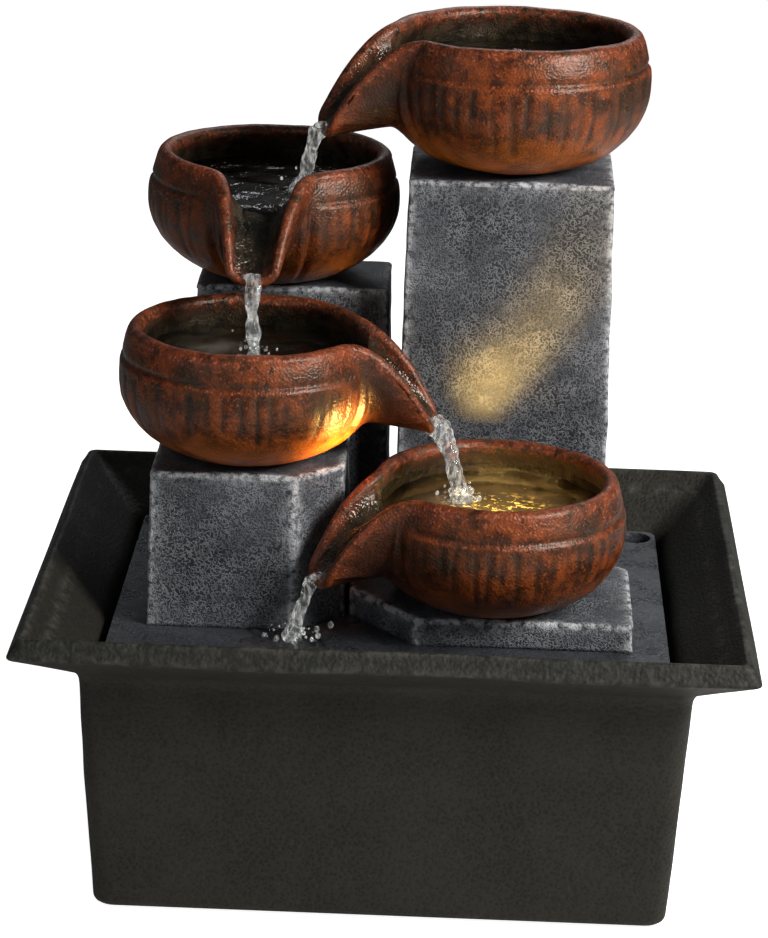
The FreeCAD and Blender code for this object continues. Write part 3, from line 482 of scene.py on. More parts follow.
def deck_paint(tree, place):
    """Dark slate paint, with its wrinkles faint and its gloss uneven."""
    figure = use(tree, SLATE, Scale=900.0)
    base = mix(tree, figure["Patches"], (0.012, 0.014, 0.018), (0.034, 0.037, 0.045))
    base = coat(tree, base, figure["Wrinkles"], 0.35, (0.085, 0.092, 0.106))
    base = coat(tree, base, figure["Specks"], 0.4, (0.16, 0.17, 0.19))
    rough = maths(tree, "MULTIPLY_ADD", figure["Drift"], 0.30, 0.22)
    return {"Base Color": base, "Roughness": rough, "Normal": bump(tree, figure["Height"], 0.5, 0.00018)}


def merged_copy(name, node):
    """The CAD node's shape as one welded mesh, for the Bevel modifier to work on."""
    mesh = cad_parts[node].data.copy()
    shape = bmesh.new()
    shape.from_mesh(mesh)
    bmesh.ops.remove_doubles(shape, verts=shape.verts, dist=2e-6)
    bmesh.ops.dissolve_limit(shape, angle_limit=0.01, verts=shape.verts, edges=shape.edges)
    shape.to_mesh(mesh)
    shape.free()
    mesh.materials.clear()
    return placed(name, mesh)


deck = merged_copy("deck_slab", "deck_plate")
edge = deck.modifiers.new("broken_edges", "BEVEL")
edge.width, edge.segments, edge.limit_method, edge.angle_limit = 0.0007, 3, "ANGLE", math.radians(40)
deck.data.materials.append(finish_of("slate_deck", deck_paint, Specular_IOR_Level=0.5))
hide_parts("deck_plate")
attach(deck, "fountain_top")

# ---------------------------------------------------------------- columns
# Three hollow columns and a solid low block are cast in resin with a slight draft and glued to the
# deck. Their charcoal paint has a fine pale wrinkle, rubbed off along the edges.


def outline(corners, radius, spacing):
    """A closed polygon with round corners, as points in order with each one's distance from the
    nearest corner. Corners are arcs of parabolas between points one radius away."""
    corners = np.array(corners, float)
    points, gaps = [], []
    for before, here, behind in zip(np.roll(corners, 1, 0), corners, np.roll(corners, -1, 0)):
        towards, onward = before - here, behind - here
        start = here + towards / np.linalg.norm(towards) * radius
        end = here + onward / np.linalg.norm(onward) * radius
        share = np.linspace(0, 1, 6)[:, None]
        points.append((1 - share) ** 2 * start + 2 * share * (1 - share) * here + share ** 2 * end)
        gaps.append(np.abs(share[:, 0] - 0.5) * radius)
        length = np.linalg.norm(onward) - 2 * radius
        share = np.linspace(0, 1, max(int(length / spacing), 2) + 1)[1:-1]
        finish = behind - onward / np.linalg.norm(onward) * radius
        points.append(end + share[:, None] * (finish - end))
        gaps.append(radius + np.minimum(share, 1 - share) * length)
    return np.concatenate(points), np.concatenate(gaps)


def column(name, node, cuts, seed, solid=False):
    """A drafted casting: the polygon of its top grows by one degree on the way down, its top edge
    is round, and a hollow one comes back up on its inside. cuts are (corner, along x, along y)."""
    low, high = (Vector(c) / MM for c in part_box(node))
    drop = high.z - low.z
    lean = drop * math.tan(math.radians(1.0))

    def plan(grow):
        box = [(low.x + lean - grow, low.y + lean - grow), (high.x - lean + grow, low.y + lean - grow),
               (high.x - lean + grow, high.y - lean + grow), (low.x + lean - grow, high.y - lean + grow)]
        corners = []
        for number, (x, y) in enumerate(box):
            if number not in cuts:
                corners.append((x, y))
                continue
            along_x, along_y = (c + 0.586 * grow for c in cuts[number])
            inward = (1 if x == box[0][0] else -1, 1 if y == box[0][1] else -1)
            pair = [(x + inward[0] * along_x, y), (x, y + inward[1] * along_y)]
            corners += pair if number in (1, 3) else pair[::-1]
        return corners

    radius, row_step, bend_rows, top_rows = 1.1, 1.25, 5, 26
    top_ring, gap = outline(plan(0), radius, 1.0)
    centre = top_ring.mean(0)
    sizes = [len(top_ring)]
    wide_ring = outline(plan(lean), radius, 1.0)[0]
    if len(wide_ring) != sizes[0]:
        after = np.linspace(0, 1, len(wide_ring)), np.linspace(0, 1, sizes[0])
        wide_ring = np.stack([np.interp(after[1], after[0], wide_ring[:, i]) for i in (0, 1)], -1)
    side = np.arange(0, drop - radius, row_step)
    bend = np.linspace(0, np.pi / 2, bend_rows + 1)[:-1]
    depth = np.concatenate([drop - side, radius * (1 - np.sin(bend))])
    pull = np.concatenate([0 * side, radius * (1 - np.cos(bend))])
    share = (depth / drop)[:, None, None]
    rings = top_ring * (1 - share) + wide_ring * share
    inward = centre - top_ring
    inward /= np.linalg.norm(inward, axis=1)[:, None]
    rings = rings + inward * pull[:, None, None]
    flat = centre + (rings[-1] - centre) * np.linspace(0.985, 0.06, top_rows)[:, None, None]
    rings = np.concatenate([rings, flat])
    depth = np.concatenate([depth, np.zeros(top_rows)])
    grid = lifted(rings, high.z - depth)
    count = len(side)
    top = count + bend_rows
    fade = np.ones(len(grid))
    fade[0] = 0
    push = swing(grid, 26, seed) * 0.14 + swing(grid, 8, seed + 1) * 0.045 - 0.16
    near = np.exp(-gap / 1.7)[None] * np.ones((len(grid), 1))
    near[count:] = 1.0
    near[top:] = np.exp(-np.linalg.norm(grid[top:, :, :2] - grid[top - 1, :, :2], axis=-1) / 0.9)
    near[:top] = np.maximum(near[:top], np.exp(-depth[:top] / 1.7)[:, None])
    chips = ease(swing(grid, 4.5, seed + 2), 1.1, 2.2) * near
    push -= chips * 0.45
    facing = np.concatenate([-inward[None] * np.ones((count, 1, 1)), 0 * rings[count:]])
    outward = lifted(facing, np.zeros(len(facing)))
    outward[count:, :, 2] = 1.0
    grid += outward * (push * fade[:, None])[..., None]
    tops = (float(centre[0]), float(centre[1]), float(grid[-1, :, 2].mean()))
    if solid:
        bottom = (float(centre[0]), float(centre[1]), low.z)
    else:
        wall = 4.5
        rise = np.linspace(0, drop - wall, 24)
        share = (1 - rise / drop)[:, None, None]
        inner = top_ring * (1 - share) + wide_ring * share
        span = np.abs(inner - centre).max(axis=1, keepdims=True)
        inner = centre + (inner - centre) * (1 - wall / span)
        grid = np.concatenate([lifted(inner, low.z + rise)[::-1], grid])
        near = np.concatenate([np.zeros(inner.shape[:2]), near])
        bottom = (float(centre[0]), float(centre[1]), float(low.z + rise[-1]))
    item = lay(name, grid, (bottom, tops), {"worn": near})
    item.data.materials.append(COLUMN_PAINT)
    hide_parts(node)
    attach(item, "fountain_top")


def column_paint(tree, place):
    """Charcoal paint under pale wrinkles, rubbed to grey where the mesh says it is worn."""
    figure = use(tree, SLATE, Scale=1080.0)
    base = mix(tree, figure["Patches"], (0.014, 0.0165, 0.021), (0.040, 0.045, 0.056))
    pale = mix(tree, figure["Drift"], (0.115, 0.125, 0.145), (0.27, 0.285, 0.315))
    base = coat(tree, base, figure["Wrinkles"], 0.52, pale)
    base = coat(tree, base, figure["Specks"], 0.35, (0.36, 0.38, 0.41))
    rubs = field(tree, "worn"), remap(tree, noise(tree, place, 420.0, 4.0, 0.7), 0.36, 0.62)
    rubbed = maths(tree, "MULTIPLY", *rubs)
    base = coat(tree, base, rubbed, 0.9, (0.55, 0.57, 0.60), clamp=True)
    rough = maths(tree, "MULTIPLY_ADD", figure["Wrinkles"], 0.18, 0.48)
    return {"Base Color": base, "Roughness": rough, "Normal": bump(tree, figure["Height"], 0.7, 0.00022)}


COLUMN_PAINT = finish_of("slate_column", column_paint, Specular_IOR_Level=0.45)
column("tall_casting", "tall_pillar", {}, 20)
column("mid_casting", "mid_pillar", {}, 30)
column("short_casting", "short_pillar", {1: (13.6, 13.6)}, 40)
column("plinth_casting", "low_plinth", {0: (20.0, 24.2), 2: (5.0, 5.0)}, 50, solid=True)

# ---------------------------------------------------------------- bowls
# Each bowl is one casting with a half-round rim that runs out into two lips and a pouring spout.
# The terracotta paint is washed with black, rubbed back to red on the rim, with a painted highlight on the
# proud ledge and painted shade on the spout.

CREST_RADIUS, EDGE_HEIGHT, BELLY_HEIGHT, BELLY_RADIUS = 33.5, 36.7, 23.0, 38.0
LIP_WIDE, LIP_DRAW, TIP_X, TIP_EDGE, TIP_LOW = 21.07, 0.2685, 53.8, 13.4, 10.8
FOOT_RADIUS, OUTER_MIDDLE, OUTER_SWELL, OUTER_DROP = 12.0, 6, 32, 23.5
INNER_RADIUS, INNER_MIDDLE, INNER_SWELL, INNER_DROP, FLOOR_HEIGHT = 33.4, 14.3, 19.1, 16, 7.0


def least(a, b, k):
    """The smaller of two heights, rounded where they cross: b(1-h) + ah - kh(1-h)."""
    h = np.clip(0.5 + 0.5 * (b - a) / k, 0, 1)
    return b * (1 - h) + a * h - k * h * (1 - h)


def down_spout(x, start=33.4):
    """Share of the way from start to the spout's tip."""
    return np.clip((x - start) / (TIP_X - start), 0, 1)


def lip_height(x):
    """Height of the lips' edges: level on the bowl, then falling to the tip with a power of x."""
    return EDGE_HEIGHT - (EDGE_HEIGHT - TIP_EDGE) * np.clip((x - 31) / (TIP_X - 31), 0, 1) ** 1.75


def crest(columns):
    """The middle of the rim: most of a circle, two straight lips and the U of the tip, spaced evenly
    and smoothed, with the direction along it, the direction out of the wall and the wall's width."""
    angle = np.radians(np.linspace(180, 30, 300))
    ring = np.stack([CREST_RADIUS * np.cos(angle), CREST_RADIUS * np.sin(angle)], -1)
    x = np.linspace(30.2, TIP_X, 120)
    lip = np.stack([x, LIP_WIDE - LIP_DRAW * x], -1)
    y = np.linspace(lip[-1, 1], 0, 40)[1:]
    half = np.concatenate([ring, lip, np.stack([np.full(len(y), TIP_X), y], -1)])
    dip = TIP_LOW + (TIP_EDGE - TIP_LOW) * (y / lip[-1, 1]) ** 2.6
    z = np.concatenate([np.full(len(ring), EDGE_HEIGHT), lip_height(x), dip])
    line = np.concatenate([half, z[:, None]], -1)
    line = np.concatenate([line, line[::-1][1:-1] * [1, -1, 1]])
    closed = np.concatenate([line, line[:1]])
    run = np.concatenate([[0], np.cumsum(np.linalg.norm(np.diff(closed, axis=0), axis=1))])
    at = np.linspace(0, run[-1], columns * 3 + 1)[:-1]
    line = np.stack([np.interp(at, run, closed[:, i]) for i in range(3)], -1)
    smooth = []
    for reach in (1.4, 4.2):
        window = np.exp(-0.5 * (np.arange(-80, 81) * run[-1] / len(at) / reach) ** 2)
        window /= window.sum()
        padded = np.concatenate([line[-80:], line, line[:80]])
        smooth.append(np.stack([np.convolve(padded[:, i], window, "valid") for i in range(3)], -1))
    tight = ease(line[:, 0], 39, 47)[:, None]
    line = smooth[0] * tight + smooth[1] * (1 - tight)
    along = np.roll(line, -1, 0) - np.roll(line, 1, 0)
    along /= np.linalg.norm(along, axis=1)[:, None]
    turned = ease(line[:, 0], TIP_X - 4.5, TIP_X - 0.8)[:, None]
    up = (1 - turned) * [0, 0, 1] + turned * [1, 0, 0]
    out = -np.cross(along, up)
    out /= np.linalg.norm(out, axis=1)[:, None]
    width = 4.6 - 0.3 * ease(line[:, 0], 20, 33) - 1.6 * down_spout(line[:, 0])
    return line[::3], along[::3], out[::3], width[::3]


def even_rows(curve, rows):
    """Each column's curve (column, step, 2) resampled to the given shares of its length."""
    steps = np.linalg.norm(np.diff(curve, axis=1), axis=2)
    run = np.concatenate([np.zeros((len(curve), 1)), np.cumsum(steps, axis=1)], 1)
    run /= run[:, -1:]
    return np.stack([np.stack([np.interp(rows, r, c[:, i]) for i in (0, 1)], -1)
                     for r, c in zip(run, curve)])


def bowl_side(end, plain, sunk, blend, shares, k):
    """Columns from the pole to the points end: in each half-plane the bowl's plain profile, blended
    by direction with the spout's surface sunk(x, y) joined to plain height."""
    reach = np.hypot(end[:, 0], end[:, 1])
    way = end[:, :2] / reach[:, None]
    share = 1 - (1 - np.linspace(0, 1, 500)) ** 3
    flat = share[None] * reach[:, None]
    x, y = flat * way[:, :1], flat * way[:, 1:]
    spout = np.stack([flat, least(plain[1](flat), sunk(x, y), k)], -1)
    simple = np.broadcast_to(plain[0](np.linspace(0, 1, 500))[None], spout.shape)
    spout, simple = even_rows(spout, shares), even_rows(simple, shares)
    m = blend[:, None, None]
    both = simple * (1 - m) + spout * m
    both = both + (np.stack([reach, end[:, 2]], -1)[:, None] - both[:, -1:]) * (shares ** 3)[None, :, None]
    return np.concatenate([both[..., :1] * way[:, None], both[..., 1:]], -1).transpose(1, 0, 2)


def along_profile(share, line):
    """Points of a profile at the given shares of its length."""
    run = np.concatenate([[0], np.cumsum(np.linalg.norm(np.diff(line, axis=0), axis=1))])
    return np.stack([np.interp(share * run[-1], run, line[:, i]) for i in (0, 1)], -1)


def upper_wall(radius):
    """From the belly's widest place up to the edge, leaning in by 2.2 as a parabola."""
    z = np.linspace(BELLY_HEIGHT, EDGE_HEIGHT, 30)[1:]
    return np.stack([radius - 2.2 * ((z - BELLY_HEIGHT) / 13.7) ** 2, z], -1)


def outer_plain(share):
    """Flat foot, a belly that is part of an ellipse and an upper wall that leans in as a parabola."""
    turn = np.linspace(0.24, np.pi / 2, 60)
    foot = np.stack([np.linspace(0, FOOT_RADIUS, 20), np.zeros(20)], -1)
    across, up = OUTER_MIDDLE + OUTER_SWELL * np.sin(turn), BELLY_HEIGHT - OUTER_DROP * np.cos(turn)
    belly = np.stack([across, up], -1)
    return along_profile(share, np.concatenate([foot, belly, upper_wall(BELLY_RADIUS)]))


def inner_plain(share):
    """Flat floor, an ellipse up to the widest place and a wall parallel to the outside."""
    turn = np.linspace(0, np.pi / 2, 60)
    across, up = INNER_MIDDLE + INNER_SWELL * np.sin(turn), BELLY_HEIGHT - INNER_DROP * np.cos(turn)
    belly = np.stack([across, up], -1)
    return along_profile(share, np.concatenate([[[0, FLOOR_HEIGHT]], belly, upper_wall(INNER_RADIUS)]))


def outer_height(reach):
    """Height of the outer belly at a distance from the axis, with a slope past its widest place."""
    inside = np.clip(1 - (np.clip(reach - OUTER_MIDDLE, 0, None) / OUTER_SWELL) ** 2, 0, 1)
    return np.maximum(BELLY_HEIGHT - OUTER_DROP * np.sqrt(inside), 0) + 6 * np.clip(reach - 37.9, 0, None)


def inner_height(reach):
    """The same for the inside."""
    inside = np.clip(1 - (np.clip(reach - INNER_MIDDLE, 0, None) / INNER_SWELL) ** 2, 0, 1)
    return BELLY_HEIGHT - INNER_DROP * np.sqrt(inside) + 8 * np.clip(reach - 33.3, 0, None)


def underside(x, y):
    """The spout's outside: under(x) + (edge - under)(1 - sqrt(1 - (|y|/half)^2.4))."""
    half = np.clip(14.25 - 0.3125 * (x - 33.4), 6.6, 15.0)
    under = 12.0 - 2.4 * down_spout(x) ** 1.4
    edge_z = np.maximum(lip_height(x), under + 1)
    rise = 1 - np.sqrt(np.clip(1 - np.clip(np.abs(y) / half, 0, 1) ** 2.4, 0, 1))
    return under + (edge_z - under) * rise


def channel_floor(x):
    """Height of the spout's floor: falling to the tip with a power of x."""
    return 27.0 - 15.0 * down_spout(x, 31.0) ** 1.45


def channel(x, y):
    """The spout's inside: floor(x) + (edge - floor)(1 - (1 - (|y|/half)^2)^0.625)."""
    half = np.clip(9.95 - 0.2245 * (x - 33.4), 5.2, 11.5)
    floor = channel_floor(x)
    edge_z = np.maximum(lip_height(x), floor + 0.8)
    rise = 1 - np.clip(1 - np.clip(np.abs(y) / half, 0, 1) ** 2, 0, 1) ** 0.625
    return floor + (edge_z - floor) * rise


def normals_of(grid, sign):
    """Unit normals of a grid whose columns wrap round, from the cross product of its steps."""
    across = np.roll(grid, -1, 1) - np.roll(grid, 1, 1)
    down = np.gradient(grid, axis=0)
    normal = np.cross(across, down) * sign
    return normal / np.maximum(np.linalg.norm(normal, axis=-1, keepdims=True), 1e-9)


def place_at(grid, centre, base, scale, degrees):
    """Turns, scales and moves points of the bowl's own frame to the bowl's place."""
    turn = math.radians(degrees)
    cos, sin = math.cos(turn), math.sin(turn)
    spin = np.array([[cos, -sin, 0], [sin, cos, 0], [0, 0, 1]])
    return (grid @ spin.T) * scale + np.array([*centre, base])


def gouges(azimuth, height, seed):
    """Upright strokes cut in the clay: each is a narrow dent, deepest at its middle."""
    draw = np.random.default_rng(seed)
    total = np.zeros(azimuth.shape)
    start = 30.0
    while start < 330.0:
        lean = draw.uniform(-0.10, 0.10)
        top, foot = draw.uniform(27.2, 29.0), draw.uniform(7.0, 17.0)
        depth, wide = draw.uniform(0.25, 0.55), draw.uniform(0.9, 1.7)
        off = (azimuth - start - lean * (height - 28)) / wide
        reach = ease(height, foot, foot + 5) * ease(-height, -top, 1.2 - top)
        total += depth * np.exp(-off ** 2) * reach
        start += draw.uniform(5.5, 9.5)
    return total


def bowl(name, node, spot, seed, sunk_floor=0.0):
    """One casting: outside, half-round rim and inside in one grid, with its strokes, groove and ledge."""
    middle, along, out, width = crest(396)
    side = out * width[:, None] / 2
    outer_end, inner_end = middle + side, middle - side
    off_out = np.degrees(np.abs(np.arctan2(outer_end[:, 1], outer_end[:, 0])))
    off_in = np.degrees(np.abs(np.arctan2(inner_end[:, 1], inner_end[:, 0])))
    blend = 1 - ease(off_out, 14, 27)
    rows = np.linspace(0, 1, 96)[1:]
    outside = bowl_side(outer_end, (outer_plain, outer_height), underside, blend, rows, 3.4)
    blend = 1 - ease(off_in, 13, 25)
    rows = np.linspace(0, 1, 64)[1:]
    inside = bowl_side(inner_end, (inner_plain, inner_height), channel, blend, rows, 3.0)
    arc = np.linspace(0, np.pi, 11)[1:-1][:, None, None]
    up = np.cross(along, out)
    half = np.linalg.norm(side, axis=1)[:, None]
    strip = middle + side * np.cos(arc) + up * half * np.sin(arc)
    azimuth = np.degrees(np.arctan2(outside[..., 1], outside[..., 0])) % 360
    height = outside[..., 2]
    plain_part = ease(np.abs((azimuth + 180) % 360 - 180), 24, 34)
    groove = np.exp(-((height - 30.3) / 0.75) ** 2)
    ledge = ease(height, 14, 28.5) * ease(-height, -29.8, -28.6)
    stroke = gouges(azimuth, height, seed) * plain_part
    push = plain_part * (0.35 * ledge - 0.55 * groove) - stroke
    push += swing(outside, 26, seed + 1) * 0.13 + swing(outside, 4.6, seed + 2) * 0.025
    push *= ease(height, 0.4, 3.0)
    outside += normals_of(outside, -1) * push[..., None]
    swell = swing(inside, 24, seed + 3) * 0.12 + swing(inside, 5, seed + 4) * 0.05
    swell = swell * ease(np.hypot(inside[..., 0], inside[..., 1]), 9, 16)
    inside += normals_of(inside, 1) * swell[..., None]
    strip += up * (swing(middle, 20, seed + 5) * 0.08 + swing(middle, 6, seed + 6) * 0.03)[:, None]
    if sunk_floor:
        inside[..., 2] -= sunk_floor * ease(-np.hypot(inside[..., 0], inside[..., 1]), -11.5, -9.0)
    grid = np.concatenate([outside, strip, inside[::-1]])
    counts = len(outside), len(strip), len(inside)
    # The lip field is the rim's dry-brushing, plus a pale line at 29 mm on the ledge under the groove that
    # is a painted highlight.
    lip = np.concatenate([np.exp(-np.linalg.norm(outside[-1] - outside, axis=-1) / 2.2)
                          + 0.8 * plain_part * np.exp(-((height - 29.0) / 0.5) ** 2),
                          np.ones(strip.shape[:2]),
                          np.exp(-np.linalg.norm(inside[-1] - inside[::-1], axis=-1) / 1.4)])
    within = np.concatenate([np.zeros(outside.shape[:2]), np.broadcast_to(
        np.linspace(0, 1, counts[1])[:, None], strip.shape[:2]), np.ones(inside.shape[:2])])
    marks = np.concatenate([stroke * 2 + groove * plain_part * 0.35, np.zeros(strip.shape[:2]),
                            np.zeros(inside.shape[:2])])
    film = np.concatenate([np.zeros(outside.shape[:2]), np.zeros(strip.shape[:2]),
                           ease(-inside[::-1][..., 2], -33.5, -31.0)])
    level = grid[..., 2] / 39.0
    scorch = np.concatenate([ease(height, 8, 24), np.ones(strip.shape[:2]), np.ones(inside.shape[:2])])
    # Painted shade: the colour is darkened over the spout from 27 to 42 mm out, less along the lips.
    spout_painted_shade = ease(grid[..., 0], 27, 42) * (1 - 0.6 * lip.clip(0, 1))
    grid = place_at(grid, *spot)
    poles = place_at(np.array([[0.0, 0, 0], [0, 0, FLOOR_HEIGHT - sunk_floor]]), *spot)
    fields = {"lip": lip, "inside": within, "stroke": marks, "wet": film, "level": level, "scorch": scorch,
              "spout_painted_shade": spout_painted_shade}
    item = lay(name, grid[:, ::-1], poles, {title: values[:, ::-1] for title, values in fields.items()})
    item.data.materials.append(TERRACOTTA)
    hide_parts(node)
    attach(item, "fountain_top")


def terracotta(tree, place):
    """Red-brown ground, black wash in slow patches, in the strokes and inside, painted shade on the spout,
    red dry-brushing that also paints a highlight on the ledge.
    """
    broad = remap(tree, noise(tree, place, 55.0, 4.0, 0.62), 0.36, 0.62)
    mid = remap(tree, noise(tree, place, 190.0, 4.0, 0.65), 0.38, 0.62)
    fine = noise(tree, place, 1100.0, 3.0, 0.6)
    flecks = remap(tree, fine, 0.55, 0.68)
    pebbles = put(tree, "TexVoronoi", {"feature": "SMOOTH_F1"}, Vector=place, Scale=1450.0,
                  Smoothness=0.8).outputs["Distance"]
    base = mix(tree, mid, (0.036, 0.0080, 0.0018), (0.185, 0.036, 0.0042))
    base = coat(tree, base, flecks, 0.6, (0.38, 0.078, 0.012))
    warm = maths(tree, "MULTIPLY", remap(tree, field(tree, "level"), 0.06, 0.50, 1.0, 0.0), broad)
    base = coat(tree, base, warm, 0.65, (0.50, 0.135, 0.012))
    wash = maths(tree, "MULTIPLY", maths(tree, "SUBTRACT", 1.0, broad), field(tree, "scorch"))
    base = coat(tree, base, wash, 0.80, (0.017, 0.0115, 0.0055))
    # painted shade darkening the spout
    base = coat(tree, base, field(tree, "spout_painted_shade"), 0.84, (0.020, 0.0070, 0.0035))
    base = coat(tree, base, field(tree, "stroke"), 0.85, (0.016, 0.009, 0.005), clamp=True)
    inner = mix(tree, mid, (0.008, 0.0075, 0.005), (0.030, 0.022, 0.012))
    base = mix(tree, field(tree, "inside"), base, inner)
    # Red dry-brushing on the rim; along the ledge the same red is a painted highlight.
    rubs = field(tree, "lip"), remap(tree, noise(tree, place, 330.0, 4.0, 0.7), 0.34, 0.60)
    dry_brush_and_ledge_highlight = maths(tree, "MULTIPLY", *rubs)
    base = coat(tree, base, dry_brush_and_ledge_highlight, 0.55, (0.26, 0.050, 0.018), clamp=True)
    glint = maths(tree, "MULTIPLY", dry_brush_and_ledge_highlight, remap(tree, fine, 0.54, 0.66))
    base = coat(tree, base, glint, 0.45, (0.55, 0.21, 0.11), clamp=True)
    dry = maths(tree, "MULTIPLY_ADD", mid, 0.14, 0.36)
    rough = put(tree, "Mix", {"data_type": "FLOAT"}, i0=field(tree, "wet"), i2=dry, i3=0.16).outputs[0]
    height = maths(tree, "MULTIPLY_ADD", pebbles, 0.8, maths(tree, "MULTIPLY", fine, 0.4))
    return {"Base Color": base, "Roughness": rough, "Normal": bump(tree, height, 0.75, 0.00034)}


TERRACOTTA = finish_of("terracotta", terracotta, Specular_IOR_Level=0.36, Coat_Weight=0.10,
                       Coat_Roughness=0.28, Specular_Tint=(1.0, 0.86, 0.74, 1))
LENS_RECESS = 0.5
# Each bowl's node, its spot as (middle, foot's height, scale, the spout's direction) and its seed.
BOWLS = {
    "top": ("bowl_top", ((31.3, 40.33), 200.1, 1.066, 195), 60),
    "back": ("bowl_back", ((-40.47, 45.48), 162.6, 1.0, 267), 70),
    "front": ("bowl_front", ((-43.6, -11.13), 123.0, 1.0, 355), 80),
    "low": ("bowl_low", ((29.83, -24.64), 84.1, 1.0, 202), 90),
}
for short, (node, spot, seed) in BOWLS.items():
    bowl(f"{short}_bowl", node, spot, seed, LENS_RECESS if short == "low" else 0.0)

# ---------------------------------------------------------------- lamp
# A warm lamp is sealed in the floor of the lowest bowl: housing, rubber ring, white board with its
# chip, and a clear lens level with the bowl's floor. Its light comes up through the water.


def lens_glow(tree, place):
    """Clear warm plastic that shines."""
    slow = noise(tree, place, 500.0, 2.0)
    warm = mix(tree, slow, (1.0, 0.62, 0.16), (1.0, 0.75, 0.30))
    return {"Base Color": mix(tree, slow, (0.90, 0.80, 0.55), (0.98, 0.90, 0.66)), "Emission Color": warm,
            "Roughness": remap(tree, slow, 0.3, 0.7, 0.08, 0.2)}


LENS = finish_of("lamp_lens", lens_glow, Emission_Strength=14.0, Specular_IOR_Level=0.5)
BOARD = moulded("lamp_board", (0.70, 0.68, 0.58), (0.82, 0.79, 0.66), rough=0.35)
for node, material in {"led_housing": PUMP_PLASTIC, "led_seal": RUBBER, "led_lens": LENS,
                       "led_board": BOARD}.items():
    dress(node, material)

# ---------------------------------------------------------------- water
# Water stands in every bowl up to its weir, runs down the spout as a film and falls in a twisted
# stream to the next bowl. The last stream breaks up on the deck.


def water_skin(tree, place):
    """Clear water: small ripples in the normal, a trace of unevenness in colour and gloss."""
    slow = noise(tree, place, 130.0, 3.0, 0.5, 0.6)
    fine = noise(tree, place, 420.0, 2.0, 0.5, 1.0)
    height = maths(tree, "MULTIPLY_ADD", slow, 0.7, maths(tree, "MULTIPLY", fine, 0.3))
    return {"Base Color": mix(tree, slow, (0.93, 0.97, 0.98), (1.0, 1.0, 1.0)),
            "Roughness": remap(tree, fine, 0.3, 0.7, 0.0, 0.03),
            "Normal": bump(tree, height, 0.6, 0.0011)}


def water_with_painted_glints(tree, place):
    """The same water over the lamp, with painted light: bent gold lines glow in its colour where the lamp's
    light would be gathered, fading outwards.
    """
    sockets = water_skin(tree, place)
    off = put(tree, "VectorMath", {"operation": "SUBTRACT"}, i0=place, i1=(0.0305, -0.032, 0.1137))
    far = put(tree, "VectorMath", {"operation": "LENGTH"}, i0=off.outputs[0]).outputs["Value"]
    near = remap(tree, far, 0.002, 0.021, 1.0, 0.0)
    bent = warp(tree, place, 150.0, 1.0, 0.006)
    lines = maths(tree, "ABSOLUTE", maths(tree, "SUBTRACT", noise(tree, bent, 260.0, 2.0, 0.6), 0.5))
    lines = remap(tree, lines, 0.0, 0.05, 1.0, 0.0)
    glitter = maths(tree, "MULTIPLY", lines, remap(tree, noise(tree, place, 520.0, 2.0), 0.45, 0.62))
    shine = maths(tree, "MULTIPLY", near, maths(tree, "MULTIPLY_ADD", glitter, 2.0, 0.06))
    # painted light: gold glints glow from the water's surface over the lamp
    sockets["Emission Color"] = mix(tree, shine, (0.0, 0.0, 0.0), (1.0, 0.60, 0.12))
    return sockets


def falling_skin(tree, place):
    """Falling water carries air: white threads along the fall between clear stretches, which also glow as a
    painted highlight.
    """
    along = put(tree, "Mapping", None, Vector=place, Scale=(1.0, 1.0, 0.22)).outputs[0]
    air_threads_and_painted_glow = remap(tree, noise(tree, along, 900.0, 3.0, 0.6, 0.4), 0.46, 0.66)
    height = noise(tree, along, 520.0, 2.0, 0.5)
    return {"Base Color": mix(tree, air_threads_and_painted_glow, (0.90, 0.94, 0.96), (1.0, 1.0, 1.0)),
            "Roughness": remap(tree, air_threads_and_painted_glow, 0.0, 1.0, 0.02, 0.25),
            # painted highlight: the threads glow with their own light
            "Emission Color": mix(tree, air_threads_and_painted_glow, (0.0, 0.0, 0.0), (0.24, 0.235, 0.22)),
            "Normal": bump(tree, height, 0.8, 0.0009)}


WATER = finish_of("clear_water", water_skin, Transmission_Weight=1.0, IOR=1.333)
PAINTED_GLINT_WATER = finish_of("water_painted_lamp_glints", water_with_painted_glints, Transmission_Weight=1.0, IOR=1.333,
                      Emission_Strength=2.2)
# The emission of the falling water is a painted highlight on its air threads.
FALLING = finish_of("falling_water", falling_skin, Transmission_Weight=0.92, IOR=1.333,
                    Emission_Strength=1.0)


def wet(item, material):
    """A piece of water: it rides with the lifting top and takes the finish it is given."""
    item.data.materials.append(material)
    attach(item, "fountain_top")


def bowl_water(name, spot, seed, level, material):
    """Closed body of water: its top is level in the bowl and follows the channel's floor to the tip,
    its bottom and edge lie just inside the casting."""
    middle, along, out, width = crest(264)
    edge = middle - out * (width[:, None] / 2 - 0.8)
    reach = np.hypot(edge[:, 0], edge[:, 1])
    way = edge[:, :2] / reach[:, None]
    share = (1 - (1 - np.linspace(0, 1, 60)[1:]) ** 1.4)[:, None]
    flat = share * reach[None]
    x, y = flat * way[None, :, 0], flat * way[None, :, 1]
    floor = channel_floor(x)
    film = floor + 1.3 + 1.8 * (1 - down_spout(x, 31.0)) ** 3
    top = np.where(x > 20, least(np.full(x.shape, level), film, 2.0), level)
    top = np.minimum(top, level) + swing(np.stack([x, y, 0 * x], -1), 13, seed) * 0.22 * ease(flat, 2, 12)
    bottom = least(inner_height(flat), channel(x, y), 3.0) - 0.8
    bottom = np.minimum(bottom, top - 0.5)
    upper = np.stack([x, y, top], -1)
    lower = np.stack([x, y, bottom], -1)
    grid = place_at(np.concatenate([lower, upper[::-1]]), *spot)
    poles = place_at(np.array([[0, 0, 6.2], [0, 0, level]]), *spot)
    wet(lay(name, grid[:, ::-1], poles), material)


WATER_LEVEL = 29.6
for short, (node, spot, seed) in BOWLS.items():
    bowl_water(f"{short}_water", spot, seed + 7, WATER_LEVEL, PAINTED_GLINT_WATER if short == "low" else WATER)


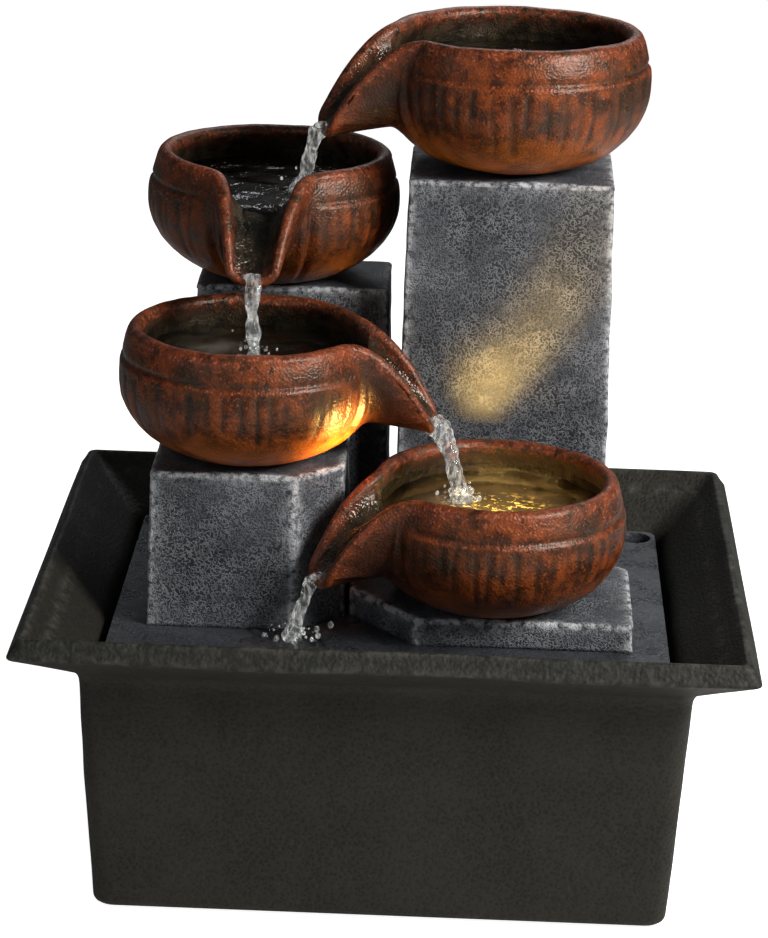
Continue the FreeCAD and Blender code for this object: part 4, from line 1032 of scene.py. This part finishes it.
def stream(name, start, landing, wide, thick, seed, steps=110, round_steps=26):
    """A tube along a parabola from a spout's tip to where it lands: an oval that twists, narrows and
    thickens on the way, with waves round and along it."""
    start, landing = np.array(start, float), np.array(landing, float)
    share = np.linspace(0, 1, steps)
    line = start + (landing - start) * share[:, None]
    line[:, 2] = start[2] + (landing[2] - start[2]) * share ** 1.75
    along = np.gradient(line, axis=0)
    along /= np.linalg.norm(along, axis=1)[:, None]
    flow = (landing - start) * [1, 1, 0]
    flow /= max(np.linalg.norm(flow), 1e-6)
    aside = np.cross(flow, [0, 0, 1.0])
    front = np.cross(along, aside)
    front /= np.linalg.norm(front, axis=1)[:, None]
    angle = np.linspace(0, 2 * np.pi, round_steps + 1)[:-1]
    twist = (share * 2.2)[:, None]
    across = wide * (1 - 0.45 * ease(share, 0.0, 0.6)) + 0.5 * wide * ease(share, 0.86, 1.0)
    deep = thick * (1 + 0.7 * ease(share, 0.1, 0.6)) + 0.8 * thick * ease(share, 0.86, 1.0)
    a, b = across[:, None] * np.cos(angle), deep[:, None] * np.sin(angle)
    a, b = a * np.cos(twist) - b * np.sin(twist), a * np.sin(twist) + b * np.cos(twist)
    grid = line[:, None] + a[..., None] * aside + b[..., None] * front[:, None]
    ripple = 1 + 0.13 * swing(grid, 9, seed) + 0.06 * swing(grid, 3.2, seed + 1)
    ripple = ripple * (0.45 + 0.55 * ease(share, 0.0, 0.06))[:, None]
    grid = line[:, None] + (grid - line[:, None]) * ripple[..., None]
    wet(lay(name, grid, (line[0] - along[0] * 0.8, line[-1] + along[-1] * 0.6)), FALLING)


def drops(name, middle, spread, count, size, seed):
    """Drops thrown up round a splash: small spheres of twelve by seven faces, in one mesh."""
    draw = np.random.default_rng(seed)
    angle = np.linspace(0, 2 * np.pi, 13)[:-1]
    tilt = np.linspace(0, np.pi, 8)[1:-1][:, None]
    ball = np.stack([np.sin(tilt) * np.cos(angle), np.sin(tilt) * np.sin(angle),
                     np.cos(tilt) + 0 * angle], -1)
    index = np.arange(72).reshape(6, 12)
    after = np.roll(index, -1, 1)
    quads = np.stack([index[:-1], index[1:], after[1:], after[:-1]], -1).reshape(-1, 4)
    caps = np.concatenate([np.stack([index[0], after[0], np.full(12, 72)], -1),
                           np.stack([after[-1], index[-1], np.full(12, 73)], -1)])
    unit = np.concatenate([ball.reshape(-1, 3), [[0, 0, 1], [0, 0, -1]]])
    where = np.array(middle) + draw.normal(size=(count, 3)) * spread
    where[:, 2] = middle[2] + np.abs(where[:, 2] - middle[2])
    big = size * draw.uniform(0.35, 1.0, count) ** 2
    points = (where[:, None] + unit[None] * big[:, None, None] * [1, 1, 1.25]).reshape(-1, 3)
    shift = (np.arange(count) * 74)[:, None, None]
    loops = np.concatenate([(quads[None] + shift).ravel(), (caps[None] + shift).ravel()])
    sizes = np.concatenate([np.full(len(quads) * count, 4), np.full(len(caps) * count, 3)])
    wet(mesh_of(name, points, loops, sizes), FALLING)


stream("top_stream", (-24.6, 25.6, 213.6), (-31.9, 30.2, 191.6), 3.7, 1.1, 101)
stream("back_stream", (-43.2, -8.0, 175.8), (-42.4, -13.5, 152.0), 3.3, 1.1, 103)
stream("front_stream", (10.0, -15.8, 136.2), (20.4, -22.0, 113.0), 4.1, 1.3, 105)
stream("low_stream", (-20.0, -44.8, 97.2), (-28.0, -41.6, 76.2), 3.4, 1.2, 107)
drops("top_drops", (-31.5, 30.0, 193.2), (2.6, 2.6, 2.4), 26, 0.75, 111)
drops("back_drops", (-42.4, -13.5, 153.2), (2.8, 2.8, 2.6), 26, 0.75, 113)
drops("front_drops", (20.4, -22.0, 114.2), (3.0, 3.0, 3.2), 34, 0.8, 115)
drops("low_drops", (-28.0, -42.0, 76.4), (5.0, 4.0, 3.0), 44, 0.85, 117)


def splash(name, centre, base_z, radius, height, seed):
    """A low crown where a stream lands: rings raised by exp(-((r - ring)/width)^2) and torn waves."""
    angle = np.linspace(0, 2 * np.pi, 65)[:-1]
    out = np.linspace(0, 1, 26)[1:, None]
    torn = 1 + 0.18 * np.sin(angle * 5 + seed) + 0.12 * np.sin(angle * 9 + 2 * seed)
    reach = out * radius * torn
    x, y = centre[0] + reach * np.cos(angle), centre[1] + reach * np.sin(angle)
    crown = np.exp(-((out - 0.42) / 0.16) ** 2) * (0.6 + 0.4 * np.sin(angle * 7 + seed))
    ring = crown + 0.35 * np.exp(-((out - 0.78) / 0.1) ** 2)
    top = base_z + 0.25 + height * ring * ease(-out, -1.0, -0.8)
    upper = np.stack([x, y, top + 0 * angle], -1)
    lower = np.stack([x, y, np.full(x.shape, base_z - 0.3)], -1)
    wet(lay(name, np.concatenate([lower, upper[::-1]]), ((*centre, base_z - 0.3), (*centre, base_z + 0.3))),
        WATER)


splash("front_splash", (20.4, -22.0), 113.6, 7.0, 1.1, 3)
splash("back_splash", (-42.4, -13.5), 152.5, 6.0, 0.9, 5)
splash("top_splash", (-31.9, 30.2), 192.1, 6.0, 0.9, 7)
splash("deck_puddle", (-30.5, -43.0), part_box("deck_plate")[1].z / MM, 12.0, 1.3, 9)

# ---------------------------------------------------------------- lamp's light
# The lamp's beam leaves the water of the lowest bowl and lights the tall column, the belly of the
# bowl above and the rim round the water.


def aimed(item, place, aim):
    """Puts a light at place, shining towards aim."""
    turn = (aim - place).to_track_quat("-Z", "Y").to_matrix().to_4x4()
    item.matrix_world = Matrix.Translation(place) @ turn


def lamp_beam(name, place, aim, power, angle, blend=1.0):
    """A warm spot that moves with the lifting top."""
    data = bpy.data.lights.new(name, "SPOT")
    data.energy, data.spot_size, data.spot_blend = power, math.radians(angle), blend
    data.color, data.shadow_soft_size = (1.0, 0.62, 0.17), 0.004
    item = placed(name, data)
    aimed(item, Vector(place) * MM, Vector(aim) * MM)
    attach(item, "fountain_top")


lamp_beam("beam_on_column_1", (27, -16, 117), (25, 17, 139), 0.27, 36)
lamp_beam("beam_on_column_2", (29, -17, 118), (34, 17, 148), 0.25, 31)
lamp_beam("beam_on_column_3", (31, -18, 118), (43, 17, 160), 0.24, 28)
lamp_beam("beam_on_column_4", (32, -19, 118), (51, 17, 175), 0.24, 25)
lamp_beam("beam_on_bowl", (6, -40, 125), (-15, -30, 136), 0.75, 56)
lamp_beam("glow_in_bowl", (29, -26, 112), (29.8, -24.6, 90), 0.32, 140, 0.6)

# ---------------------------------------------------------------- studio
# A pale floor, a soft key light from the upper right, a fill from the left and a pale surround.


def studio_light(name, place, aim, size, power, colour):
    """A soft rectangular light."""
    data = bpy.data.lights.new(name, "AREA")
    data.shape, data.size, data.size_y, data.energy, data.color = "RECTANGLE", *size, power, colour
    aimed(placed(name, data), Vector(place), Vector(aim))


studio_light("key", (0.62, -0.42, 0.62), (0.0, 0.0, 0.14), (0.30, 0.30), 11.0, (1.0, 0.97, 0.92))
studio_light("fill", (-0.60, -0.70, 0.50), (0.0, 0.0, 0.1), (0.6, 0.6), 0.9, (0.93, 0.96, 1.0))
studio_light("back", (0.15, 0.75, 0.75), (0.0, 0.0, 0.15), (0.5, 0.3), 1.6, (0.95, 0.97, 1.0))

world = bpy.data.worlds.new("surround")
bpy.context.scene.world = world
world.use_nodes = True
tree = world.node_tree
tree.nodes.clear()
seen = put(tree, "Background", None, Color=(1, 1, 1, 1), Strength=1.0).outputs[0]
soft = put(tree, "Background", None, Color=(0.96, 0.98, 1.0, 1), Strength=0.07).outputs[0]
ray = put(tree, "LightPath").outputs["Is Camera Ray"]
both = put(tree, "MixShader", None, i0=ray, i1=soft, i2=seen).outputs[0]
put(tree, "OutputWorld", None, Surface=both)


def floor_paint(tree, place):
    """Pale matt paper, lifted a little where it is seen directly so that it stays near white."""
    slow = noise(tree, place, 3.0, 2.0)
    seen = put(tree, "LightPath").outputs["Is Camera Ray"]
    return {"Base Color": mix(tree, slow, (0.86, 0.86, 0.86), (0.90, 0.90, 0.90)),
            "Roughness": remap(tree, slow, 0.3, 0.7, 0.75, 0.85),
            "Emission Strength": maths(tree, "MULTIPLY", seen, 0.95)}


angle = np.linspace(0, 2 * np.pi, 65)[:-1]
ring = np.stack([np.cos(angle) * 2500, np.sin(angle) * 2500, 0 * angle], -1)
floor = lay("studio_floor", np.stack([ring - [0, 0, 4], ring]), ((0, 0, -4), (0, 0, 0)))
floor.data.materials.append(finish_of("floor_paint", floor_paint, Specular_IOR_Level=0.2,
                                      Emission_Color=(1, 1, 1, 1)))

camera_data = bpy.data.cameras.new("camera")
camera_data.lens, camera_data.sensor_width, camera_data.sensor_fit = 130.62, 36.0, "AUTO"
camera_data.clip_start, camera_data.clip_end = 0.05, 20.0
camera = placed("camera", camera_data)
camera.matrix_world = (Matrix.Translation((0.021887, -0.963368, 0.431192))
                       @ Matrix.Rotation(math.radians(1.519), 4, "Z")
                       @ Matrix.Rotation(math.radians(71.854), 4, "X")
                       @ Matrix.Rotation(math.radians(1.595), 4, "Z"))
bpy.context.scene.camera = camera
bpy.context.scene.view_settings.view_transform = "Standard"

bpy.context.view_layer.update()
